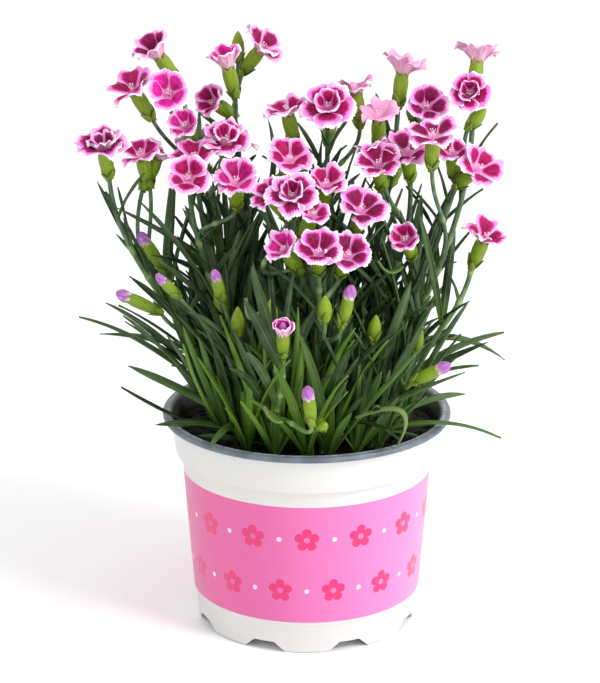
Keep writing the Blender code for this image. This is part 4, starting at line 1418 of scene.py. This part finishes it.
def extraLeavesOf(stem):
    rng = random.Random(seeds["extraLeaves"] + stem.looks.randrange(1000))
    total = lengthOf(stem.main)
    found = []
    for node, height in enumerate(extraNodes["heights"]):
        if height > extraNodes["topShare"] * total:
            break
        spot = along(stem.main, height / total)
        rule = upperLeaves if height > extraNodes["upperFrom"] else extraLeaves
        wanted = rule["perNode"] - (stem.plan["root"][0] > extraNodes["thinnerFrom"])
        for index in range(wanted * extraNodes["tries"]):
            jitter = rng.uniform(-extraNodes["turn"], extraNodes["turn"])
            turn = stem.firstTurn + math.pi * (0.5 * node + index) + jitter
            grown = freeLeaf(rng, spot, turn, rule)
            if clearOfPot(grown) and clearOfFlowers(grown):
                found.append(grown)
                wanted -= 1
            if not wanted:
                break
    return found


stemForm = {                      # darkLeaves is the power of the draw of a leaf's tint
    "taper": 0.25, "stalkJoint": 0.45, "budBracts": 0.92, "openingCalyx": 0.86, "darkLeaves": 1.3,
}


def buildStem(stem):
    looks = stem.looks
    loose = []
    for line, radius, isMain in stem.routes:
        if isMain:
            rings = [height + joint["deep"] for height in growth["nodeHeights"]]
            loose.append(growRod(stemRod, line, radius, stemForm["taper"], rings))
        else:
            loose.append(growRod(stalkRod, line, radius, 0.0, [lengthOf(line) * stemForm["stalkJoint"]]))
    for foot, top, tip, _ in stem.ends:
        if tip == "green":
            place = faceFrame(foot, top - foot)
            length = (top - foot).length
            loose.append(copyOf(bud, placed(place, (1, 1, length)), looks.random()))
            loose += bractPieces(place, stemForm["budBracts"], looks)
        else:
            loose += calyxPieces(foot, top, looks, stemForm["openingCalyx"] if tip else 1.0)
    for grown in stem.leaves + extraLeavesOf(stem):
        shaper = bladeShaper(grown, looks.uniform(0, 6))
        loose.append(copyOf(leaf, shaper, looks.random() ** stemForm["darkLeaves"]))
    joinPieces(stem.name + "_dressed", loose, stem.name)


# A second row of petals is smaller, more upright and stands higher.
bloomForm = {
    "petals": 5, "rowShrink": 0.38, "rowCup": 26, "root": -1.6, "rowRise": 0.7, "sizes": (0.9, 1.04),
    "spin": 0.7, "turn": 0.13, "tint": 0.02, "filaments": (0.75, 0.75, 0.7), "filamentsUp": -1.9,
    "tints": (0.05, 0.68),
}
rolledTip = {                     # rows of petals (radius, cup) round a core
    "rows": ((5.8, 40), (4.6, 60), (3.4, 74)), "up": 3.2, "root": -1.0, "tint": 0.83,
    "core": (0.62, 0.62, 6.4), "coreUp": 0.6, "coreTint": 0.5,
}
tipSink = 1.2                     # how deep a bud's tip starts inside its calyx


def raised(place, height):
    return place @ Matrix.Translation((0, 0, height))


def bloomPieces(pixel, depth, facing, radius, cup, rows, rng, tint):
    form = bloomForm
    place = faceFrame(seenAt(pixel, depth), Vector(facing))
    offset = pixel[0] * form["spin"]          # turns each head another way
    loose = []
    for row in range(rows):
        size = radius * (1 - form["rowShrink"] * row)
        root = form["root"] + form["rowRise"] * row
        for index in range(form["petals"]):
            jitter = rng.uniform(-form["turn"], form["turn"])
            turn = offset + math.tau * (index + 0.5 * row) / form["petals"] + jitter
            reach = size * rng.uniform(*form["sizes"])
            grown = petalShaper(place, turn, reach, cup + form["rowCup"] * row, root, rng)
            loose.append(copyOf(petal, grown, tint + rng.uniform(-form["tint"], form["tint"])))
    spin = Matrix.Rotation(rng.uniform(0, math.tau), 4, "Z")
    throat = raised(place, form["filamentsUp"]) @ spin
    loose.append(copyOf(filaments, placed(throat, form["filaments"]), tint))
    return loose


def buildTip(name, foot, top, rng):
    axis = (top - foot).normalized()
    place = faceFrame(top - axis * tipSink, axis) @ Matrix.Rotation(rng.uniform(0, 6), 4, "Z")
    if name == "bud_tip_rolled":
        form = rolledTip
        loose = []
        for row, (size, cup) in enumerate(form["rows"]):
            for index in range(bloomForm["petals"]):
                turn = math.tau * (index + 0.5 * row) / bloomForm["petals"]
                grown = petalShaper(raised(place, form["up"]), turn, size, cup, form["root"], rng)
                loose.append(copyOf(petal, grown, form["tint"]))
        core = placed(raised(place, form["coreUp"]), form["core"])
        loose.append(copyOf(budTip, core, form["coreTint"]))
    else:
        loose = [copyOf(budTip, placed(place, (1, 1, growth["budTipLength"] + tipSink)), rng.random())]
    joinPieces(name + "_dressed", loose, name)


flowerPlaces = []                 # the balls of room that extra leaves keep out of
for plan in stemPlans:
    for _, pixel, depth, facing, radius, _, _, _ in plan["blooms"]:
        flowerPlaces.append((seenAt(pixel, depth), radius * clearance["head"]))
        foot, top = calyxLine(pixel, depth, facing)
        flowerPlaces.append(((foot + top) / 2, clearance["bud"]))
    for pixel, depth, pointing, length, _, _ in plan["buds"]:
        foot = seenAt(pixel, depth)
        for reach in clearance["budShares"]:
            spot = foot + Vector(pointing).normalized() * length * reach
            flowerPlaces.append((spot, clearance["bud"]))

grownStems = [GrownStem(plan, number) for number, plan in enumerate(stemPlans)]
print("stems read back, leaves found:", sum(len(stem.leaves) for stem in grownStems))
for stem in grownStems:
    buildStem(stem)
print("stems dressed")

heads = []                        # a head with no name is grown together with the one before it
for plan in stemPlans:
    for bloomPlan in plan["blooms"]:
        if bloomPlan[0]:
            heads.append((bloomPlan[0], []))
        heads[-1][1].append(bloomPlan[1:-1])
bloomTints = {                    # 0 dark crimson, 0.4 crimson, 0.8 hot pink, 1.3 pale all over
    "bloom_left_small": 0.86, "bloom_left_cup": 0.79, "bloom_half_open": 0.95, "bloom_left_fan": 0.76,
    "bloom_front_left": 0.77, "bloom_front": 0.15, "bloom_mid_low": 0.08, "bloom_centre": 0.5,
    "bloom_centre_pale": 1.1, "bloom_right_pale": 1.3, "bloom_right_top": 1.3, "bloom_edge_top": 1.3,
}
for number, (name, parts) in enumerate(heads):
    rng = random.Random(seeds["blooms"] + number)
    loose = []
    for part in parts:
        drawn = rng.uniform(*bloomForm["tints"])
        loose += bloomPieces(*part, rng, bloomTints.get(name, drawn))
    joinPieces(name + "_dressed", loose, name)
print("blooms dressed:", len(heads))

for number, stem in enumerate(grownStems):
    for foot, top, tip, _ in stem.ends:
        if tip and tip != "green":
            buildTip(tip, foot, top, random.Random(seeds["budTips"] + number))
print("bud tips dressed")


# Basal shoots: tufts of young leaves between the stems, low in the pot
tufts = {
    "roots": (
        (-31, -24), (-9, -32), (22, -36), (-40, -8), (40, -16), (0, -46), (14, -22), (-20, -8), (30, 28),
        (-42, 18), (0, 42), (-14, -44), (32, -32), (44, 4), (-32, 28), (22, 44), (10, -42), (-26, -38),
        (2, -26),
    ),
    "leaves": 11, "tries": 60, "turn": 2.4, "up": 0.5, "lengths": (34, 78), "widths": (2.2, 4.4),
    "lift": (56, 89), "droop": (0, 34), "young": (1, 5, 11, 16, 17), "youngTints": (1.2, 1.5),
    "oldTints": (0.3, 1.0),
}


def buildTufts():
    rng = random.Random(seeds["tufts"])
    loose = []
    for number, root in enumerate(tufts["roots"]):
        spot = Vector((*root, growth["soilTop"] + tufts["up"]))
        low, high = tufts["youngTints"] if number in tufts["young"] else tufts["oldTints"]
        done = 0
        for index in range(tufts["tries"]):
            grown = freeLeaf(rng, spot, tufts["turn"] * index, tufts)
            if clearOfPot(grown) and clearOfFlowers(grown):
                loose.append(copyOf(leaf, bladeShaper(grown, rng.uniform(0, 6)), rng.uniform(low, high)))
                done += 1
            if done == tufts["leaves"]:
                break
    joinPieces("basal_shoots", loose)


buildTufts()
print("basal shoots added")


# Late buds low among the leaves: foot in the front view, depth, pointing, length, radius as a share, tip
lateBuds = (
    ((341, 329), -44, (1, -1, 9), 8.5, 0.7, False), ((416, 353), -30, (2, -2, 9), 12.0, 0.62, False),
    ((320, 428), -64, (3, -5, 4), 6.0, 0.85, False), ((222, 300), -34, (-2, -2, 9), 10.0, 0.8, True),
    ((178, 296), -30, (-6, -2, 7), 9.0, 0.75, True),
)


# Leaves that stand out low in the front view: foot, its depth, bend, tip, its depth, width, tint
lowLeaves = (
    ((281, 447), -32, (262, 385), (266, 328), -60, 3.4, 1.3),          # upright fan before the rolled bud
    ((283, 448), -33, (279, 390), (284, 331), -69, 3.8, 1.35),
    ((284, 447), -32, (275, 390), (278, 338), -62, 3.0, 1.25),
    ((286, 448), -33, (296, 385), (298, 307), -62, 3.6, 1.3),
    ((288, 448), -33, (300, 395), (303, 336), -64, 3.8, 1.4),
    ((289, 448), -33, (296, 410), (303, 372), -62, 2.8, 1.2),
    ((228, 432), -24, (203, 380), (183, 326), -44, 3.6, 1.3),          # fan at the left
    ((230, 434), -24, (214, 380), (198, 336), -46, 3.4, 1.2),
    ((226, 434), -24, (198, 395), (183, 344), -46, 3.4, 1.45),
    ((366, 400), -26, (392, 335), (411, 281), -40, 5.6, 0.75),         # broad single leaves
    ((363, 400), -30, (362, 370), (361, 340), -42, 4.4, 0.3),
    ((262, 400), -30, (232, 325), (188, 312), -52, 4.2, 0.5),
    ((316, 440), -34, (310, 395), (307, 350), -58, 3.4, 1.0),
    ((346, 400), -40, (342, 365), (312, 316), -52, 2.4, 0.2),
    ((325, 420), -44, (335, 400), (347, 381), -64, 3.0, 0.9),
    ((365, 410), -36, (372, 390), (382, 371), -52, 3.8, 1.2),
    ((345, 416), -40, (353, 408), (362, 397), -56, 2.8, 1.1),
    ((262, 440), -24, (225, 424), (176, 424), -30, 3.8, 0.6),          # leaves that lie over the soil
    ((266, 444), -26, (235, 436), (196, 436), -36, 3.6, 0.4),
    ((330, 444), -26, (370, 424), (418, 436), -30, 3.8, 0.6),
    ((345, 440), -22, (380, 430), (436, 424), -20, 3.6, 0.5),
    ((246, 298), -50, (247, 330), (260, 311), -55, 3.6, 2.0),          # curled, their pale back in sight
    ((264, 406), -66, (272, 423), (283, 422), -71, 3.8, 2.0),
    ((356, 418), -58, (424, 392), (398, 444), -62, 5.0, 2.0),
    ((403, 266), -24, (389, 280), (378, 261), -29, 3.0, 2.0),
)


lateForm = {
    "rootX": 0.45, "rootY": 0.6, "rise": 0.4, "facing": 0.35, "stalk": 0.85, "taper": 0.2, "joint": 0.5,
    "tip": 6.5, "tipSink": 1, "bracts": 0.9, "bendDepth": (0.4, 0.6), "twists": (-0.4, 0.5),
}


def buildLateGrowth():
    form = lateForm
    rng = random.Random(seeds["lateGrowth"])
    green = []
    coloured = []
    for pixel, depth, pointing, length, size, opening in lateBuds:
        foot = seenAt(pixel, depth)
        axis = Vector(pointing).normalized()
        root = Vector((foot.x * form["rootX"], foot.y * form["rootY"], growth["soilTop"]))
        span = (foot - root).length
        bends = (root, root + up * span * form["rise"], foot - axis * span * form["facing"], foot + axis)
        line = smoothLine(bends, growth["stalkSteps"])
        green.append(growRod(stalkRod, line, form["stalk"], form["taper"], [span * form["joint"]]))
        if opening:
            green += calyxPieces(foot, foot + axis * length, rng, size)
            tipPlace = faceFrame(foot + axis * (length - form["tipSink"]), axis)
            coloured.append(copyOf(budTip, placed(tipPlace, (size, size, form["tip"])), rng.random()))
        else:
            place = faceFrame(foot, axis)
            green.append(copyOf(bud, placed(place, (size, size, length)), rng.random()))
            green += bractPieces(place, size * form["bracts"], rng)
    footShare, tipShare = form["bendDepth"]
    for foot, depth, bend, tip, tipDepth, width, tint in lowLeaves:
        middle = seenAt(bend, depth * footShare + tipDepth * tipShare)
        twist = rng.uniform(*form["twists"])
        grown = (seenAt(foot, depth), middle, seenAt(tip, tipDepth), width, twist)
        green.append(copyOf(leaf, bladeShaper(grown, rng.uniform(0, 6)), tint))
    joinPieces("late_growth", green)
    joinPieces("late_bud_tips", coloured)


buildLateGrowth()
print("late growth added")


# Pot: a ring extruded along the wall's profile, with notches and drains cut out
potForm = {
    "height": 98.4, "rim": 65.0, "mouth": 60.7, "lip": 3.0, "lipRound": 1.6,
    "lipAngles": (105, 80, 55, 30, 5, -20, -45, -70), "collar": 59.1, "collarFoot": 79.7, "foot": 49.6,
    "slope": 0.077, "bandFoot": 14.2, "bandStep": 0.9, "wall": 1.3, "floor": 5.2, "pad": 13.0, "sides": 112,
    "pole": 0.6, "notches": 8, "notchWidth": 22.0, "notchTop": 9.5, "notchHeight": 4.5, "notchDepth": 12,
    "drainCircle": 33.0, "drain": 3.6, "drainSides": 24, "drainDepth": 10.4,
}


def bodyRadius(height):
    return potForm["foot"] + potForm["slope"] * height


def potInside():                  # from the middle of the floor up to the lip
    p = potForm
    innerFloor = p["floor"] + p["wall"]
    collarTop = p["height"] - p["lip"]
    step = p["collar"] - bodyRadius(p["collarFoot"])
    return [
        (p["pole"], innerFloor),
        (p["pad"], innerFloor),
        (bodyRadius(innerFloor) - p["wall"] - 1.5, innerFloor),
        (bodyRadius(innerFloor) - p["wall"], innerFloor + 1.5),
        (bodyRadius(p["collarFoot"]) - p["wall"], p["collarFoot"] - 1),
        (p["collar"] - p["wall"], p["collarFoot"] + step),
        (p["mouth"] - 0.5, collarTop - 2),
        (p["mouth"] - 0.2, collarTop + 1.6),
        (p["mouth"] + 0.5, p["height"] - 0.35),
        (p["mouth"] + 1.3, p["height"]),
    ]


def potLip():
    p = potForm
    middle = p["height"] - p["lip"] / 2
    turns = [math.radians(angle) for angle in p["lipAngles"]]
    outs = [p["rim"] - p["lipRound"] + p["lipRound"] * math.cos(turn) for turn in turns]
    return [(out, middle + p["lip"] / 2 * math.sin(turn)) for out, turn in zip(outs, turns)]


def potOutside():                 # collar, band and foot, then back under the floor
    p = potForm
    collarTop = p["height"] - p["lip"]
    return [
        (p["mouth"] + 0.9, collarTop),
        (p["mouth"] + 0.75, collarTop - 0.4),
        (p["collar"] + 0.3, p["collarFoot"] + 1),
        (p["collar"] - 0.1, p["collarFoot"]),
        (bodyRadius(p["collarFoot"]) + p["bandStep"] + 0.3, p["collarFoot"] - 0.9),
        (bodyRadius(p["collarFoot"]) + p["bandStep"] - 0.1, p["collarFoot"] - 1.6),
        (bodyRadius(p["bandFoot"]) + p["bandStep"], p["bandFoot"] + 0.4),
        (bodyRadius(p["bandFoot"]) + p["bandStep"] - 0.3, p["bandFoot"] - 0.2),
        (bodyRadius(p["bandFoot"] - 1.4), p["bandFoot"] - 1.4),
        (bodyRadius(1), 1),
        (p["foot"] - 0.2, 0.25),
        (p["foot"] - 0.5, 0),
        (p["foot"] - 1.4, 0),
        (bodyRadius(p["floor"]) - p["wall"] - 1.2, p["floor"]),
        (p["pad"] + 2, p["floor"]),
        (p["pad"], 0),
        (p["pole"], 0),
    ]


def closePole(made):              # fills the small rings left at the middle
    beginEdit(made)
    shape = bmesh.from_edit_mesh(made.data)
    for edge in shape.edges:
        edge.select = edge.is_boundary
    bmesh.update_edit_mesh(made.data)
    bpy.ops.mesh.select_mode(type="EDGE")
    bpy.ops.mesh.fill_holes(sides=0)
    bpy.ops.mesh.select_mode(type="VERT")
    bpy.ops.mesh.select_all(action="SELECT")
    bpy.ops.mesh.normals_make_consistent(inside=False)
    endEdit()


def inMetres(profile):
    return [(radius * mm, height * mm) for radius, height in profile]


def notchCutter():                # wider at its foot, and through the wall
    notch = newPrimitive("notch", bpy.ops.mesh.primitive_cube_add, size=1)
    for vert in notch.data.vertices:
        high = vert.co.z > 0
        width = potForm["notchTop"] if high else potForm["notchWidth"]
        reach = potForm["foot"] + potForm["notchDepth"] * vert.co.x
        vert.co = Vector((reach, vert.co.y * width, potForm["notchHeight"] if high else -1.0)) * mm
    return notch


def drainCutter():
    return newPrimitive(
        "drain", bpy.ops.mesh.primitive_cylinder_add, vertices=potForm["drainSides"],
        radius=potForm["drain"] * mm, depth=potForm["drainDepth"] * mm,
        location=(potForm["drainCircle"] * mm, 0, potForm["floor"] * mm),
    )


def buildPot():
    profile = inMetres(potInside() + potLip() + potOutside())
    made = extrudedRing("pot_dressed", potForm["sides"], profile, capped=False)
    closePole(made)
    cutters = bpy.data.collections.new("potCutters")
    bpy.context.scene.collection.children.link(cutters)
    for index in range(potForm["notches"]):
        turn = math.tau * (index + 0.5) / potForm["notches"]
        for cutter in (notchCutter(), drainCutter()):
            cutter.data.transform(Matrix.Rotation(turn, 4, "Z"))
            for holder in list(cutter.users_collection):
                holder.objects.unlink(cutter)
            cutters.objects.link(cutter)
    cut = made.modifiers.new("cut", "BOOLEAN")
    cut.operation = "DIFFERENCE"
    cut.operand_type = "COLLECTION"
    cut.collection = cutters
    applyModifiers(made)
    for cutter in list(cutters.objects):
        bpy.data.objects.remove(cutter)
    bpy.data.collections.remove(cutters)
    made.data.materials.append(potWhite)
    made.data.materials.append(potGrey)
    top = (potForm["height"] - potForm["lip"] - 0.2) * mm
    floor = (potForm["floor"] + 1) * mm
    for face in made.data.polygons:           # the lip and the inner wall are grey
        out = Vector((face.center.x, face.center.y, 0))
        inward = face.normal.dot(out) < 0 and face.center.z > floor
        face.material_index = int(face.center.z > top or inward)
    activate(made)
    bpy.ops.object.shade_smooth_by_angle(angle=math.radians(35))
    settle(made, "pot")


buildPot()
print("pot made")


# Soil: a disc pushed up into crumbs, with loose lumps on it
soilForm = {
    "rings": 46, "sides": 96, "radius": 58.0, "bottom": 84.0, "wave": 0.6, "lump": 1.1, "crumbs": 420,
    "sizes": (0.5, 1.9), "rough": (0.75, 1.2), "long": (0.8, 1.5), "wide": (0.7, 1.1), "high": (0.5, 0.8),
}


def soilHeight(x, y):             # slow waves with small lumps on them
    wave = math.sin(x / 7 + 1) * math.cos(y / 9) + 0.5 * math.sin((x - y) / 5)
    fine = 0.5 * math.sin(x * 0.9 + 2 * math.sin(y * 0.7)) * math.sin(y * 1.1 + 1.3 * math.sin(x * 0.6))
    return growth["soilTop"] + soilForm["wave"] * wave + soilForm["lump"] * 0.5 * fine


def soilProfile():
    p = soilForm
    top = growth["soilTop"]
    edge = p["radius"] + 0.3
    under = [(potForm["pole"], p["bottom"]), (p["radius"] - 1.2, p["bottom"]), (edge, top - 0.5)]
    return under + [(p["radius"] * (1 - step / p["rings"]) + 0.3, top) for step in range(p["rings"])]


def buildSoil():
    p = soilForm
    made = extrudedRing("soilBody", p["sides"], inMetres(soilProfile()), capped=False)
    closePole(made)
    for vert in made.data.vertices:
        x, y, z = vert.co / mm
        if z > growth["soilTop"] - 0.2 and math.hypot(x, y) < p["radius"]:
            vert.co.z = soilHeight(x, y) * mm
    made.data.materials.append(pottingSoil)
    made.data.shade_smooth()
    rng = random.Random(seeds["soil"])
    crumb = newPrimitive("crumb", bpy.ops.mesh.primitive_ico_sphere_add, subdivisions=1, radius=1)
    for vert in crumb.data.vertices:
        vert.co *= rng.uniform(*p["rough"])
    finishTemplate(crumb, pottingSoil)
    loose = [made]
    for _ in range(p["crumbs"]):
        turn = rng.uniform(0, math.tau)
        out = (p["radius"] - 2) * math.sqrt(rng.random())
        size = rng.uniform(*p["sizes"])
        x, y = out * math.cos(turn), out * math.sin(turn)
        spot = Matrix.Translation((x, y, soilHeight(x, y) + size * 0.2))
        place = spot @ Matrix.Rotation(rng.uniform(0, 6), 4, "Z")
        squash = [size * rng.uniform(*p[side]) for side in ("long", "wide", "high")]
        loose.append(copyOf(crumb, placed(place, squash), 0.0))
    joinPieces("soil_dressed", loose, "soil")


buildSoil()
print("soil made")

for pattern in templates:
    bpy.data.objects.remove(pattern)


# Studio: pale floor, soft light from the right, camera at the photo's angle
studio = {                        # each lamp: name, energy, size, place
    "floor": 8, "gap": 0.0002, "paper": (0.98, 0.98, 0.98), "aim": (0, 0, 0.14),
    "lamps": (("keyRight", 13, 0.5, (0.95, -0.75, 1.15)), ("sideRight", 5, 0.7, (1.25, -0.7, 0.2))),
    "sensor": 36, "pictureHeight": 683,
}


def buildStudio():
    floor = newPrimitive(
        "floor", bpy.ops.mesh.primitive_plane_add, size=studio["floor"], location=(0, 0, -studio["gap"]),
    )
    floor.data.materials.append(Finish("paper", studio["paper"], 0.9).material)
    world = bpy.data.worlds.new("surround")
    bpy.context.scene.world = world
    world.use_nodes = True
    background = world.node_tree.nodes["Background"]
    background.inputs[0].default_value = (1.0, 1.0, 1.0, 1)
    background.inputs[1].default_value = 1.0
    for name, energy, size, place in studio["lamps"]:
        lamp = bpy.data.lights.new(name, "AREA")
        lamp.energy = energy
        lamp.size = size
        made = bpy.data.objects.new(name, lamp)
        made.location = place
        towards = Vector(studio["aim"]) - Vector(place)
        made.rotation_euler = towards.to_track_quat("-Z", "Y").to_euler()
        bpy.context.scene.collection.objects.link(made)
    lens = bpy.data.cameras.new("photoView")
    lens.lens = studio["sensor"] * view["focal"] / studio["pictureHeight"]
    camera = bpy.data.objects.new("photoView", lens)
    camera.location = view["eye"] * mm
    camera.rotation_euler = (math.pi / 2 - view["down"], 0, 0)
    bpy.context.scene.collection.objects.link(camera)
    bpy.context.scene.camera = camera
    bpy.context.scene.view_settings.view_transform = "Standard"


buildStudio()
print("studio ready")
